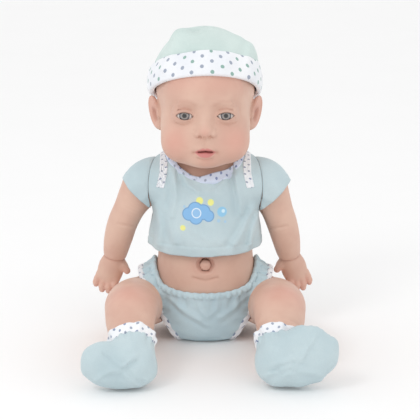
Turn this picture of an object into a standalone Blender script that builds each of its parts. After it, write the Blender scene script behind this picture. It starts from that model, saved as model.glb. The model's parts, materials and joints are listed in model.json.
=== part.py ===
"""An interactive baby doll that sits on the floor, as an assembly of separate pieces.

Metres, +Z up. The doll sits on z = 0 and faces -Y; "right" and "left" are the doll's own sides,
so its right side is at -X. Two moulded torso shells hold the electronics and clamp the plugs on
which the head, the arms and the legs turn. Hat, shirt, briefs and booties are plain closed solids.
"""

import math

import bmesh
import bpy
from mathutils import Matrix, Vector

# ---------------------------------------------------------------- driving dimensions

GAP = 0.0003  # clearance between pieces that touch
PARTING_Y = 0.003  # plane where the two torso shells meet, through the limb joints
TORSO_WALL = 0.003
LIMB_WALL = 0.003
CLOTH = 0.0015  # least thickness of the clothes' solids

TORSO_TOP = 0.1805
NECK_RADIUS = 0.022
NECK_Y = 0.008
NECK_PLUG_RADIUS = 0.0105
HEAD_BASE = 0.1820

SHOULDER_X = 0.049
SHOULDER_Z = 0.1535
SHOULDER_RADIUS = 0.0215
SHOULDER_SWEEP = math.radians(15)  # the joint faces point this much backwards
HIP_X = 0.0505
HIP_Z = 0.036
HIP_RADIUS = 0.0295
HIP_DROOP = math.radians(30)  # the joint faces point this much downwards
# plugs of the limb joints: radii of stem, flange and head, and the depth of the flange's seat
SOCKETS = {
    "shoulder": {"stem": 0.0080, "flange": 0.0120, "head": 0.0120, "seat": 0.0035},
    "hip": {"stem": 0.0110, "flange": 0.0160, "head": 0.0160, "seat": 0.0035},
}
# screws that hold the torso's halves: name, x and z
SCREW_POSTS = (
    ("upper_right", -0.0350, 0.1180),
    ("upper_left", 0.0350, 0.1180),
    ("lower_right", -0.0200, 0.0200),
    ("lower_left", 0.0200, 0.0200),
)
POST_RADIUS = 0.0040
COVER_SIZE = (0.0460, 0.0520)  # battery cover, across and up

NAVEL_Z = 0.083
BUTTON_RADIUS = 0.0050
SWITCH_Z = 0.0915
SWITCH_TRAVEL = 0.004

SHIRT_HEM_Z = 0.1015
NECKLINE_RADIUS = 0.0330
NECKLINE_Y = 0.0120
NECKLINE_SLOPE = math.radians(22)
COLLAR_WIDTH = 0.0050
BRIEFS_EASE = 0.0032  # how far the briefs stand off the torso, outer face
BAND_EASE = 0.0042  # the same for the elastic waist and the leg bindings
BAND_WIDTH = 0.0060
WAIST_Z = 0.0710  # height of the waist at the sides
WAIST_SLOPE = math.radians(18)  # the waist is this much lower at the front
HAT_SLOPE = math.radians(24.5)
HAT_EDGE_Z = 0.2415  # height of the hat's edge above the ears
HAT_EDGE_Y = 0.010
CUFF_HEIGHT = 0.024

# torso sections: height, half width, front reach and back reach from the Y axis
TORSO_SECTIONS = (
    (BRIEFS_EASE, 0.0360, 0.0300, 0.0340),
    (0.0100, 0.0450, 0.0380, 0.0410),
    (0.0250, 0.0515, 0.0440, 0.0470),
    (0.0450, 0.0525, 0.0460, 0.0480),
    (0.0650, 0.0490, 0.0475, 0.0450),
    (0.0850, 0.0465, 0.0465, 0.0420),
    (0.1050, 0.0460, 0.0425, 0.0420),
    (0.1250, 0.0470, 0.0380, 0.0440),
    (0.1430, 0.0470, 0.0340, 0.0450),
    (0.1570, 0.0440, 0.0290, 0.0430),
    (0.1680, 0.0380, 0.0230, 0.0380),
    (0.1760, 0.0300, 0.0175, 0.0325),
    (TORSO_TOP, NECK_RADIUS, NECK_RADIUS - NECK_Y, NECK_RADIUS + NECK_Y),
)
SHIRT_SECTIONS = (
    (0.0950, 0.0580, 0.0535, 0.0510),
    (0.1100, 0.0570, 0.0510, 0.0510),
    (0.1250, 0.0520, 0.0460, 0.0500),
    (0.1400, 0.0500, 0.0405, 0.0490),
    (0.1530, 0.0485, 0.0350, 0.0480),
    (0.1640, 0.0435, 0.0290, 0.0440),
    (0.1730, 0.0370, 0.0245, 0.0390),
    (0.1800, 0.0290, 0.0200, 0.0340),
)

# limbs: stations for the doll's left side (+X): centre, then radius across and through
ARM_PATHS = {
    "right": (
        (0.0470, 0.0030, 0.1545, 0.0190, 0.0190),
        (0.0580, 0.0030, 0.1520, 0.0215, 0.0205),
        (0.0665, 0.0030, 0.1420, 0.0180, 0.0175),
        (0.0745, 0.0030, 0.1280, 0.0152, 0.0150),
        (0.0815, 0.0040, 0.1130, 0.0146, 0.0143),
        (0.0860, 0.0065, 0.0980, 0.0140, 0.0133),
        (0.0890, 0.0100, 0.0850, 0.0126, 0.0118),
        (0.0908, 0.0125, 0.0750, 0.0117, 0.0103),
        (0.0935, 0.0140, 0.0660, 0.0130, 0.0098),
        (0.0965, 0.0150, 0.0570, 0.0135, 0.0090),
        (0.0980, 0.0155, 0.0510, 0.0115, 0.0075),
    ),
    "left": (
        (0.0470, 0.0030, 0.1545, 0.0190, 0.0190),
        (0.0575, 0.0030, 0.1510, 0.0215, 0.0205),
        (0.0645, 0.0030, 0.1400, 0.0180, 0.0178),
        (0.0705, 0.0030, 0.1260, 0.0154, 0.0152),
        (0.0758, 0.0045, 0.1110, 0.0148, 0.0145),
        (0.0798, 0.0080, 0.0960, 0.0138, 0.0133),
        (0.0822, 0.0125, 0.0840, 0.0124, 0.0118),
        (0.0842, 0.0160, 0.0750, 0.0115, 0.0103),
        (0.0868, 0.0190, 0.0660, 0.0126, 0.0098),
        (0.0900, 0.0210, 0.0570, 0.0128, 0.0090),
        (0.0925, 0.0215, 0.0510, 0.0112, 0.0075),
    ),
}
SLEEVE_PATH = (
    (0.0440, 0.0030, 0.1550, 0.0225, 0.0225),
    (0.0550, 0.0030, 0.1530, 0.0243, 0.0240),
    (0.0630, 0.0030, 0.1470, 0.0232, 0.0228),
    (0.0690, 0.0030, 0.1395, 0.0208, 0.0206),
)
FINGERS = (
    # offset across the palm, drop from the palm's end, reach forwards
    (-0.0086, 0.0150, -0.0040),
    (-0.0029, 0.0185, -0.0020),
    (0.0030, 0.0178, 0.0000),
    (0.0087, 0.0130, 0.0020),
)
LEG_PATH = (
    (0.0540, 0.0270, 0.0335, 0.0100, 0.0110),
    (0.0545, 0.0210, 0.0330, 0.0175, 0.0195),
    (0.0555, 0.0080, 0.0330, 0.0235, 0.0275),
    (0.0600, -0.0120, 0.0360, 0.0245, 0.0300),
    (0.0665, -0.0380, 0.0425, 0.0250, 0.0285),
    (0.0695, -0.0650, 0.0500, 0.0245, 0.0265),
    (0.0703, -0.0880, 0.0555, 0.0246, 0.0255),
    (0.0703, -0.1040, 0.0545, 0.0240, 0.0245),
    (0.0695, -0.1180, 0.0490, 0.0225, 0.0230),
    (0.0680, -0.1310, 0.0430, 0.0200, 0.0200),
    (0.0665, -0.1420, 0.0380, 0.0172, 0.0172),
    (0.0655, -0.1520, 0.0330, 0.0160, 0.0160),
)
THIGH_FLAT = 0.0510  # the thigh is flat against the torso within this radius of the hip
THIGH_TAPER = 0.65  # and falls away from the torso by this slope outside it
ANKLE_CUFF = (-0.0020, 0.0060)  # where the bootie's cuff begins and ends, along the ankle
# feet and booties: heel to toe, half height of the sole and half thickness
FOOT_PATHS = {
    "right": (
        (0.0590, -0.1570, 0.0190, 0.0135, 0.0120),
        (0.0670, -0.1600, 0.0205, 0.0150, 0.0135),
        (0.0790, -0.1630, 0.0230, 0.0155, 0.0115),
        (0.0900, -0.1650, 0.0260, 0.0155, 0.0095),
        (0.0960, -0.1655, 0.0270, 0.0130, 0.0080),
    ),
    "left": (
        (0.0590, -0.1550, 0.0190, 0.0135, 0.0120),
        (0.0680, -0.1580, 0.0210, 0.0150, 0.0135),
        (0.0800, -0.1610, 0.0255, 0.0160, 0.0115),
        (0.0910, -0.1625, 0.0305, 0.0170, 0.0095),
        (0.0970, -0.1630, 0.0335, 0.0140, 0.0080),
    ),
}
BOOTIE_PATHS = {
    "right": (
        (0.0560, -0.1580, 0.0190, 0.0165, 0.0130),
        (0.0630, -0.1600, 0.0205, 0.0200, 0.0165),
        (0.0740, -0.1625, 0.0220, 0.0215, 0.0170),
        (0.0860, -0.1650, 0.0245, 0.0215, 0.0145),
        (0.0960, -0.1665, 0.0270, 0.0195, 0.0120),
        (0.1020, -0.1670, 0.0280, 0.0160, 0.0095),
    ),
    "left": (
        (0.0590, -0.1560, 0.0190, 0.0160, 0.0130),
        (0.0670, -0.1580, 0.0215, 0.0210, 0.0165),
        (0.0790, -0.1605, 0.0265, 0.0255, 0.0170),
        (0.0920, -0.1630, 0.0330, 0.0280, 0.0145),
        (0.1030, -0.1645, 0.0330, 0.0235, 0.0120),
        (0.1100, -0.1650, 0.0310, 0.0170, 0.0095),
    ),
}

# head: ellipsoids as centre and semi-axes, blended into one star-shaped surface
HEAD_CENTRE = Vector((0.0, -0.002, 0.231))
HEAD_FORMS = (
    ((0.0, 0.011, 0.248), (0.0480, 0.0560, 0.0490)),  # cranium
    ((0.0, -0.009, 0.216), (0.0435, 0.0430, 0.0400)),  # face and jaw
    ((0.0, 0.009, 0.215), (0.0270, 0.0270, 0.0500)),  # neck
)
HEAD_BLEND = 14.0
NOSE_CENTRE = Vector((0.0, -0.049, 0.2140))
NOSE_RADII = (0.0072, 0.0080, 0.0065)
EYE_X = 0.0195
EYE_Y = -0.0375
EYE_Z = 0.2285
EYE_RADIUS = 0.0105
EAR_CENTRE = (0.0475, 0.0060, 0.2230)
EAR_RADII = (0.0065, 0.0095, 0.0170)
HAT_CENTRE = (0.0, 0.0110, 0.2500)
HAT_RADII = (0.0530, 0.0610, 0.0555)

SPEAKER_Y = -0.0225
SPEAKER_Z = 0.1280
SPEAKER_RADIUS = 0.0180
BATTERY_RADIUS = 0.0071
BATTERY_LENGTH = 0.0500
BATTERY_PITCH = 0.0150
BATTERY_Z = 0.1265
TRAY_SIZE = (0.0500, 0.0175, 0.0600)
TRAY_Y = 0.0235

# ---------------------------------------------------------------- materials

COLOURS = {
    "skin_vinyl": ((0.76, 0.50, 0.38), 0.55, 0.0),
    "hat_mint_knit": ((0.68, 0.80, 0.79), 0.95, 0.0),
    "dotted_cotton": ((0.84, 0.86, 0.90), 0.95, 0.0),
    "blue_cotton": ((0.58, 0.73, 0.78), 0.95, 0.0),
    "eye_acrylic": ((0.86, 0.88, 0.88), 0.10, 0.0),
    "white_plastic": ((0.82, 0.82, 0.80), 0.45, 0.0),
    "black_plastic": ((0.03, 0.03, 0.03), 0.45, 0.0),
    "board_green": ((0.05, 0.24, 0.10), 0.50, 0.0),
    "steel": ((0.62, 0.62, 0.62), 0.30, 1.0),
    "battery_jacket": ((0.10, 0.16, 0.40), 0.35, 0.0),
    "paper_cone": ((0.10, 0.10, 0.10), 0.90, 0.0),
    "wire_red": ((0.55, 0.04, 0.03), 0.50, 0.0),
    "wire_black": ((0.03, 0.03, 0.03), 0.50, 0.0),
}


def material(slot):
    made = bpy.data.materials.get(slot)
    if made is None:
        colour, roughness, metallic = COLOURS[slot]
        made = bpy.data.materials.new(slot)
        made.use_nodes = True
        shader = made.node_tree.nodes["Principled BSDF"]
        shader.inputs["Base Color"].default_value = (*colour, 1.0)
        shader.inputs["Roughness"].default_value = roughness
        shader.inputs["Metallic"].default_value = metallic
    return made


# ---------------------------------------------------------------- scene and modelling helpers


def start_scene():
    for old in list(bpy.data.objects):
        bpy.data.objects.remove(old, do_unlink=True)
    for title in ("baby_doll", "cutters"):
        group = bpy.data.collections.new(title)
        bpy.context.scene.collection.children.link(group)


def adopt(obj, name, slot=None):
    """Names obj and files it under the doll, or under the cutters if it has no material slot."""
    obj.name = name
    obj.data.name = name
    for group in list(obj.users_collection):
        group.objects.unlink(obj)
    if slot is None:
        bpy.data.collections["cutters"].objects.link(obj)
        obj.hide_render = True
        obj.display_type = "WIRE"
    else:
        bpy.data.collections["baby_doll"].objects.link(obj)
        obj.data.materials.clear()
        obj.data.materials.append(material(slot))
    return obj


def from_bmesh(mesh, name, slot=None, smooth=True):
    bmesh.ops.recalc_face_normals(mesh, faces=mesh.faces)
    data = bpy.data.meshes.new(name)
    mesh.to_mesh(data)
    mesh.free()
    if smooth:
        data.shade_smooth()
        data.set_sharp_from_angle(angle=math.radians(40))
    obj = bpy.data.objects.new(name, data)
    bpy.context.scene.collection.objects.link(obj)
    return adopt(obj, name, slot)


def turn_to(axis):
    """Rotation that takes +Z to axis."""
    return Vector((0, 0, 1)).rotation_difference(Vector(axis)).to_matrix().to_4x4()


def place(obj, origin, axis=(0, 0, 1)):
    obj.matrix_world = Matrix.Translation(Vector(origin)) @ turn_to(axis)
    return obj


def drum(name, start, axis, radius, length, slot=None, sides=32, tip_radius=None, half_step=False):
    """A cylinder or cone from start along axis; half_step turns a flat to the centre plane."""
    mesh = bmesh.new()
    turn = Matrix.Rotation(math.pi / sides if half_step else 0.0, 4, "Z")
    bmesh.ops.create_cone(
        mesh,
        cap_ends=True,
        segments=sides,
        radius1=radius,
        radius2=radius if tip_radius is None else tip_radius,
        depth=length,
        matrix=Matrix.Translation((0, 0, length / 2)) @ turn,
    )
    return place(from_bmesh(mesh, name, slot), start, axis)


def block(name, centre, size, slot=None, tilt_x=0.0, bevel=0.0):
    mesh = bmesh.new()
    bmesh.ops.create_cube(mesh, size=1.0, matrix=Matrix.Diagonal((*size, 1.0)))
    obj = from_bmesh(mesh, name, slot, smooth=False)
    obj.matrix_world = Matrix.Translation(Vector(centre)) @ Matrix.Rotation(tilt_x, 4, "X")
    if bevel:
        edge = obj.modifiers.new("rounded_edges", "BEVEL")
        edge.width = bevel
        edge.segments = 1
    return obj


def ball(name, centre, radii, slot=None, around=24, along=16):
    mesh = bmesh.new()
    bmesh.ops.create_uvsphere(
        mesh, u_segments=around, v_segments=along, radius=1.0, matrix=Matrix.Diagonal((*radii, 1.0))
    )
    return place(from_bmesh(mesh, name, slot), centre)


def turned(name, profile, origin, axis, slot=None, steps=16, ring=False):
    """A turned piece from (radius, height) pairs down its outer side; a ring's come back up."""
    data = bpy.data.meshes.new(name)
    count = len(profile)
    edges = [(i, i + 1) for i in range(count - 1)] + ([(count - 1, 0)] if ring else [])
    data.from_pydata([(radius, 0.0, height) for radius, height in profile], edges, [])
    obj = bpy.data.objects.new(name, data)
    bpy.context.scene.collection.objects.link(obj)
    adopt(obj, name, slot)
    place(obj, origin, axis)
    screw = obj.modifiers.new("turned", "SCREW")
    screw.axis = "Z"
    screw.steps = steps
    screw.render_steps = steps
    screw.use_merge_vertices = True
    screw.merge_threshold = 0.00005
    screw.use_smooth_shade = True
    return obj


def loft(name, rings, slot=None):
    """A closed body through rings of equal point count, flat at both ends."""
    mesh = bmesh.new()
    rows = [[mesh.verts.new(point) for point in ring] for ring in rings]
    for low, high in zip(rows, rows[1:]):
        for i in range(len(low)):
            j = (i + 1) % len(low)
            mesh.faces.new((low[i], low[j], high[j], high[i]))
    mesh.faces.new(rows[0])
    mesh.faces.new(rows[-1])
    return from_bmesh(mesh, name, slot)


def sweep(name, stations, slot=None, sides=16, grow=0.0, hint=(0, 1, 0), end_cap=True):
    """A limb through stations of centre, radius across hint and radius along it, with rounded ends."""
    centres = [Vector(s[:3]) for s in stations]
    radii = [(s[3] + grow, s[4] + grow) for s in stations]
    tangents = [
        (centres[min(i + 1, len(centres) - 1)] - centres[max(i - 1, 0)]).normalized()
        for i in range(len(centres))
    ]
    steps = [(c, t, r) for c, t, r in zip(centres, tangents, radii)]

    def rounded(centre, tangent, size, way):
        reach = min(size) * 0.8
        return [
            (
                centre + tangent * way * reach * math.sin(a),
                tangent,
                (size[0] * math.cos(a), size[1] * math.cos(a)),
            )
            for a in (math.radians(35), math.radians(62), math.radians(80))
        ]

    steps = rounded(*steps[0], -1)[::-1] + steps
    if end_cap:
        steps = steps + rounded(*steps[-1], 1)
    rings = []
    for centre, tangent, (across, through) in steps:
        side = Vector(hint).cross(tangent).normalized()
        up = tangent.cross(side).normalized()
        rings.append(
            [
                centre
                + side * across * math.cos(2 * math.pi * k / sides)
                + up * through * math.sin(2 * math.pi * k / sides)
                for k in range(sides)
            ]
        )
    return loft(name, rings, slot)


def combine(obj, other, operation):
    """Adds a live Boolean to obj, and files other with the cutters."""
    for group in list(other.users_collection):
        group.objects.unlink(other)
    bpy.data.collections["cutters"].objects.link(other)
    other.hide_render = True
    other.display_type = "WIRE"
    step = obj.modifiers.new(operation.lower() + "_" + other.name, "BOOLEAN")
    step.operation = operation
    step.object = other
    return obj


def cut(obj, *others):
    for other in others:
        combine(obj, other, "DIFFERENCE")
    return obj


def join(obj, *others):
    for other in others:
        combine(obj, other, "UNION")
    return obj


def keep_inside(obj, other):
    return combine(obj, other, "INTERSECT")


# ---------------------------------------------------------------- joints, as point and outward axis

SIDES = {"right": -1, "left": 1}


def shoulder(side):
    s = SIDES[side]
    return (
        Vector((s * SHOULDER_X, PARTING_Y, SHOULDER_Z)),
        Vector((s * math.cos(SHOULDER_SWEEP), math.sin(SHOULDER_SWEEP), 0)),
    )


def hip(side):
    s = SIDES[side]
    return (
        Vector((s * HIP_X, PARTING_Y, HIP_Z)),
        Vector((s * math.cos(HIP_DROOP), 0, -math.sin(HIP_DROOP))),
    )


def on_side(path, side):
    return [(SIDES[side] * x, y, z, across, through) for x, y, z, across, through in path]


def past(name, point, axis, offset=0.0, radius=0.20, length=0.30):
    """A big drum that holds everything past a plane, from offset onwards along axis."""
    axis = Vector(axis)
    return drum(name, Vector(point) + axis * offset, axis, radius, length, sides=24)


# ---------------------------------------------------------------- torso and its openings


def section_rings(sections, grow, sides, squareness=2.25):
    """Superellipse rings through sections of height, half width, front reach and back reach."""
    rings = []
    last = len(sections) - 1
    for i, (z, half, front, back) in enumerate(sections):
        height = z - grow if i == 0 else z + grow if i == last else z
        ring = []
        for k in range(sides):
            angle = 2 * math.pi * k / sides
            c, s = math.cos(angle), math.sin(angle)
            x = math.copysign(abs(c) ** (2 / squareness), c) * (half + grow)
            y = math.copysign(abs(s) ** (2 / squareness), s) * ((back if s > 0 else front) + grow)
            ring.append(Vector((x, y, height)))
        rings.append(ring)
    return rings


def torso_form(name, grow, slot=None, sides=24, reach=0.0):
    """The torso's outside, grown or shrunk, ending in the round faces of its shoulders and hips."""
    body = loft(name, section_rings(TORSO_SECTIONS, grow, sides), slot)
    for side in SIDES:
        point, axis = shoulder(side)
        start = point - axis * (0.020 + grow)
        join(body, drum(f"{name}_{side}_shoulder", start, axis, SHOULDER_RADIUS + grow, 0.027))
        cut(body, past(f"{name}_{side}_arm_face", point, axis, reach, radius=0.035))
        point, axis = hip(side)
        start = point - axis * (0.022 + grow)
        join(body, drum(f"{name}_{side}_hip", start, axis, HIP_RADIUS + grow, 0.029))
        cut(body, past(f"{name}_{side}_leg_face", point, axis, reach, radius=0.065))
    return body


def half_space(name, front):
    """A block that holds the front or the back half of the torso, a little short of the parting plane."""
    edge = PARTING_Y + (-GAP / 2 if front else GAP / 2)
    depth = 0.12
    centre_y = edge - depth / 2 if front else edge + depth / 2
    return block(name, (0, centre_y, 0.09), (0.16, depth, 0.24))


def limb_socket(shell, label, joint, stem, flange, seat):
    """The round hole that a limb's plug turns in, with a flat seat inside for its flange."""
    point, axis = joint
    cut(
        shell,
        drum(f"{label}_hole", point - axis * 0.030, axis, stem + GAP, 0.040, sides=22),
        drum(f"{label}_seat", point - axis * 0.018, axis, flange + 0.001, 0.018 - seat, sides=22),
    )


def torso_shell(name, front):
    shell = torso_form(name, 0.0, "skin_vinyl")
    label = "front" if front else "back"
    cavity = loft(f"{label}_cavity", section_rings(TORSO_SECTIONS, -TORSO_WALL, 20))
    for post, x, z in SCREW_POSTS:
        cut(cavity, drum(f"{label}_{post}_post", (x, -0.060, z), (0, 1, 0), POST_RADIUS, 0.120, sides=12))
    cut(shell, cavity)
    keep_inside(shell, half_space(f"{label}_half", front))
    for side in SIDES:
        limb_socket(shell, f"{label}_{side}_shoulder", shoulder(side),
                    SOCKETS["shoulder"]["stem"], SOCKETS["shoulder"]["flange"], SOCKETS["shoulder"]["seat"])
        limb_socket(shell, f"{label}_{side}_hip", hip(side),
                    SOCKETS["hip"]["stem"], SOCKETS["hip"]["flange"], SOCKETS["hip"]["seat"])
    cut(
        shell,
        drum(f"{label}_neck_hole", (0, NECK_Y, 0.160), (0, 0, 1), NECK_PLUG_RADIUS + GAP, 0.030, sides=24),
        drum(f"{label}_neck_seat", (0, NECK_Y, 0.164), (0, 0, 1), 0.0165, TORSO_TOP - 0.1675, sides=24),
    )
    return shell


def front_shell():
    shell = torso_shell("torso_front_shell", True)
    cut(
        shell,
        drum(
            "navel_hole",
            (0, -0.060, NAVEL_Z),
            (0, 1, 0),
            BUTTON_RADIUS + GAP,
            0.030,
            sides=22,
            half_step=True,
        ),
        drum("navel_ring", (0, -0.0525, NAVEL_Z), (0, 1, 0), 0.0090, 0.0072, sides=26, tip_radius=0.0064),
    )
    for k in range(7):
        radius = 0.0 if k == 6 else 0.0085
        angle = math.radians(60 * k)
        spot = (radius * math.cos(angle), -0.060, SPEAKER_Z + radius * math.sin(angle))
        cut(shell, drum(f"grille_hole_{k}", spot, (0, 1, 0), 0.0016, 0.045, sides=10))
    for post, x, z in SCREW_POSTS:
        cut(shell, drum(f"front_{post}_pilot", (x, -0.020, z), (0, 1, 0), 0.0017, 0.040, sides=10))
    return shell


def back_shell():
    shell = torso_shell("torso_back_shell", False)
    opening = (COVER_SIZE[0] + 2 * GAP, 0.030, COVER_SIZE[1] + 2 * GAP)
    cut(
        shell,
        block("cover_opening", (0, 0.045, BATTERY_Z), opening),
        block("switch_slot", (0, 0.045, SWITCH_Z), (0.0050 + SWITCH_TRAVEL + 4 * GAP, 0.030, 0.0044)),
    )
    for post, x, z in SCREW_POSTS:
        cut(
            shell,
            drum(f"back_{post}_hole", (x, -0.010, z), (0, 1, 0), 0.0019, 0.070, sides=10),
            drum(f"back_{post}_recess", (x, 0.0268, z), (0, 1, 0), 0.0032, 0.040, sides=12),
        )
    return shell


def battery_cover():
    """The piece of the back wall that closes the battery tray."""
    cover = loft("battery_cover", section_rings(TORSO_SECTIONS, 0.0, 24), "skin_vinyl")
    cut(cover, loft("cover_inside", section_rings(TORSO_SECTIONS, -TORSO_WALL + 0.0005, 20)))
    keep_inside(cover, block("cover_outline", (0, 0.050, BATTERY_Z), (COVER_SIZE[0], 0.030, COVER_SIZE[1])))
    cut(
        cover,
        drum("cover_screw_hole", (0, 0.030, BATTERY_Z - 0.0215), (0, 1, 0), 0.0017, 0.030, sides=10),
        drum("cover_screw_recess", (0, 0.0405, BATTERY_Z - 0.0215), (0, 1, 0), 0.0032, 0.030, sides=12),
    )
    return cover


def machine_screw(name, head_at, length, radius=0.0014, head=0.0027):
    """A pan-head screw driven towards -Y, its head's outer face at head_at."""
    return turned(
        name,
        (
            (0.0, 0.0),
            (head * 0.7, 0.0),
            (head, -0.0006),
            (head, -0.0018),
            (radius, -0.0018),
            (radius, -length),
            (0.0, -length - 0.0008),
        ),
        head_at,
        (0, 1, 0),
        "steel",
        steps=8,
    )


# ---------------------------------------------------------------- electronics


def electronics():
    tray_back = TRAY_Y + TRAY_SIZE[1] / 2
    tray = block("battery_tray", (0, TRAY_Y, BATTERY_Z), TRAY_SIZE, "white_plastic")
    hollow = (TRAY_SIZE[0] - 0.003, TRAY_SIZE[1], TRAY_SIZE[2] - 0.003)
    cut(tray, block("tray_hollow", (0, TRAY_Y + 0.0015, BATTERY_Z), hollow))
    for k in range(3):
        x = (k - 1) * BATTERY_PITCH
        low = BATTERY_Z - BATTERY_LENGTH / 2
        turned(
            f"battery_{k + 1}",
            ((0.0, BATTERY_LENGTH), (0.0026, BATTERY_LENGTH), (0.0026, BATTERY_LENGTH - 0.0012),
             (BATTERY_RADIUS, BATTERY_LENGTH - 0.0012), (BATTERY_RADIUS, 0.0), (0.0, 0.0)),
            (x, TRAY_Y - TRAY_SIZE[1] / 2 + 0.0018 + BATTERY_RADIUS, low),
            (0, 0, 1),
            "battery_jacket",
            steps=16,
        )
    for label, way in (("upper", 1), ("lower", -1)):
        z = BATTERY_Z + way * (BATTERY_LENGTH / 2 + 0.0018)
        block(f"{label}_contact_strip", (0, TRAY_Y - 0.0005, z), (0.0440, 0.0120, 0.0006), "steel")
    screw_z = BATTERY_Z - 0.0215
    machine_screw("battery_cover_screw", (0, 0.0432, screw_z), 0.0030)

    turned(
        "speaker_frame",
        ((SPEAKER_RADIUS, 0.0060), (SPEAKER_RADIUS, 0.0045), (0.0095, -0.0010), (0.0095, -0.0022),
         (0.0080, -0.0022), (0.0080, 0.0002), (SPEAKER_RADIUS - 0.0018, 0.0060)),
        (0, SPEAKER_Y, SPEAKER_Z),
        (0, -1, 0),
        "black_plastic",
        ring=True,
    )
    turned(
        "speaker_cone",
        (
            (0.0, 0.0020),
            (0.0074, 0.0020),
            (SPEAKER_RADIUS - 0.0030, 0.0072),
            (SPEAKER_RADIUS - 0.0022, 0.0067),
            (0.0078, 0.0012),
            (0.0, 0.0012),
        ),
        (0, SPEAKER_Y, SPEAKER_Z),
        (0, -1, 0),
        "paper_cone",
    )
    turned(
        "speaker_magnet",
        ((0.0, -0.0025), (0.0090, -0.0025), (0.0090, -0.0085), (0.0, -0.0085)),
        (0, SPEAKER_Y, SPEAKER_Z),
        (0, -1, 0),
        "steel",
    )

    board_y = -0.0180
    board = block("circuit_board", (0, board_y, 0.0800), (0.0420, 0.0016, 0.0400), "board_green")
    for k, (x, z) in enumerate(((-0.018, 0.0640), (0.018, 0.0640), (-0.018, 0.0960), (0.018, 0.0960))):
        cut(board, drum(f"board_hole_{k}", (x, board_y - 0.005, z), (0, 1, 0), 0.0012, 0.010, sides=8))
    block("sound_chip", (-0.0110, board_y + 0.0023, 0.0760), (0.0080, 0.0024, 0.0080), "black_plastic")
    on_board = (0.0120, board_y + 0.0011, 0.0740)
    drum("smoothing_capacitor", on_board, (0, 1, 0), 0.0030, 0.0080, "black_plastic", 12)
    block("contact_switch", (0, board_y - 0.0027, NAVEL_Z), (0.0060, 0.0032, 0.0060), "black_plastic")
    navel_front = -0.0490
    turned(
        "navel_button",
        (
            (0.0, 0.0),
            (0.0028, -0.0003),
            (0.0044, -0.0011),
            (BUTTON_RADIUS, -0.0024),
            (BUTTON_RADIUS, -0.0075),
            (0.0070, -0.0075),
            (0.0070, -0.0090),
            (0.0024, -0.0090),
            (0.0024, -0.0238),
            (0.0, -0.0238),
        ),
        (0, navel_front, NAVEL_Z),
        (0, -1, 0),
        "skin_vinyl",
    )
    spring_end = (0, board_y - 0.0013, NAVEL_Z)
    coil_spring("button_spring", (0, navel_front + 0.0094, NAVEL_Z), spring_end, 0.0052, 0.0004, 4)
    block("power_switch_body", (0, 0.0330, SWITCH_Z), (0.0150, 0.0060, 0.0070), "black_plastic")
    slider_at = (-SWITCH_TRAVEL / 2, 0.0398, SWITCH_Z)
    block("power_switch_slider", slider_at, (0.0050, 0.0066, 0.0036), "black_plastic")
    wire(
        "battery_wire",
        (
            (0.0140, 0.0220, 0.0950),
            (0.0150, 0.0130, 0.0940),
            (0.0150, 0.0030, 0.0880),
            (0.0150, -0.0080, 0.0840),
            (0.0140, -0.0155, 0.0820),
        ),
        "wire_red",
    )
    wire(
        "speaker_wire",
        (
            (-0.0110, -0.0150, 0.1300),
            (-0.0150, -0.0100, 0.1220),
            (-0.0170, -0.0060, 0.1120),
            (-0.0160, -0.0070, 0.1020),
            (-0.0130, -0.0155, 0.0930),
        ),
        "wire_black",
    )


def coil_spring(name, start, end, radius, wire_radius, turns):
    start, end = Vector(start), Vector(end)
    points_per_turn = 10
    count = turns * points_per_turn + 1
    curve = bpy.data.curves.new(name, "CURVE")
    curve.dimensions = "3D"
    curve.bevel_depth = wire_radius
    curve.bevel_resolution = 0
    curve.use_fill_caps = True
    line = curve.splines.new("POLY")
    line.points.add(count - 1)
    for i in range(count):
        angle = 2 * math.pi * i / points_per_turn
        at = start.lerp(end, i / (count - 1))
        line.points[i].co = (at.x + radius * math.cos(angle), at.y, at.z + radius * math.sin(angle), 1.0)
    obj = bpy.data.objects.new(name, curve)
    bpy.context.scene.collection.objects.link(obj)
    return adopt(obj, name, "steel")


def wire(name, points, slot, radius=0.0008):
    curve = bpy.data.curves.new(name, "CURVE")
    curve.dimensions = "3D"
    curve.bevel_depth = radius
    curve.bevel_resolution = 1
    curve.use_fill_caps = True
    line = curve.splines.new("POLY")
    line.points.add(len(points) - 1)
    for spot, point in zip(line.points, points):
        spot.co = (*point, 1.0)
    obj = bpy.data.objects.new(name, curve)
    bpy.context.scene.collection.objects.link(obj)
    return adopt(obj, name, slot)


# ---------------------------------------------------------------- plugs that hold head and limbs


def joint_plug(name, joint, sizes, wall_outside):
    """A turned plug: a flange inside the torso, a stem through both walls and a head inside the limb."""
    point, axis = joint
    inside = sizes["seat"] + GAP
    outside = wall_outside + 2 * GAP
    return turned(
        name,
        (
            (0.0, outside + 0.002),
            (sizes["head"], outside + 0.002),
            (sizes["head"], outside),
            (sizes["stem"], outside),
            (sizes["stem"], -inside),
            (sizes["flange"], -inside),
            (sizes["flange"], -inside - 0.002),
            (0.0, -inside - 0.002),
        ),
        point,
        axis,
        "white_plastic",
    )


def neck_parts():
    turned(
        "neck_plug",
        ((0.0, 0.0245), (0.0120, 0.0245), (0.0150, 0.0225), (0.0150, 0.0205), (NECK_PLUG_RADIUS, 0.0205),
         (NECK_PLUG_RADIUS, 0.0116), (0.0155, 0.0116), (0.0155, 0.0096), (0.0, 0.0096)),
        (0, NECK_Y, 0.1650),
        (0, 0, 1),
        "white_plastic",
    )
    turned(
        "neck_washer",
        (
            (0.0180, HEAD_BASE - GAP),
            (0.0180, TORSO_TOP + GAP),
            (0.0112, TORSO_TOP + GAP),
            (0.0112, HEAD_BASE - GAP),
        ),
        (0, NECK_Y, 0),
        (0, 0, 1),
        "white_plastic",
        ring=True,
    )


# ---------------------------------------------------------------- head, eyes and hat


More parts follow.
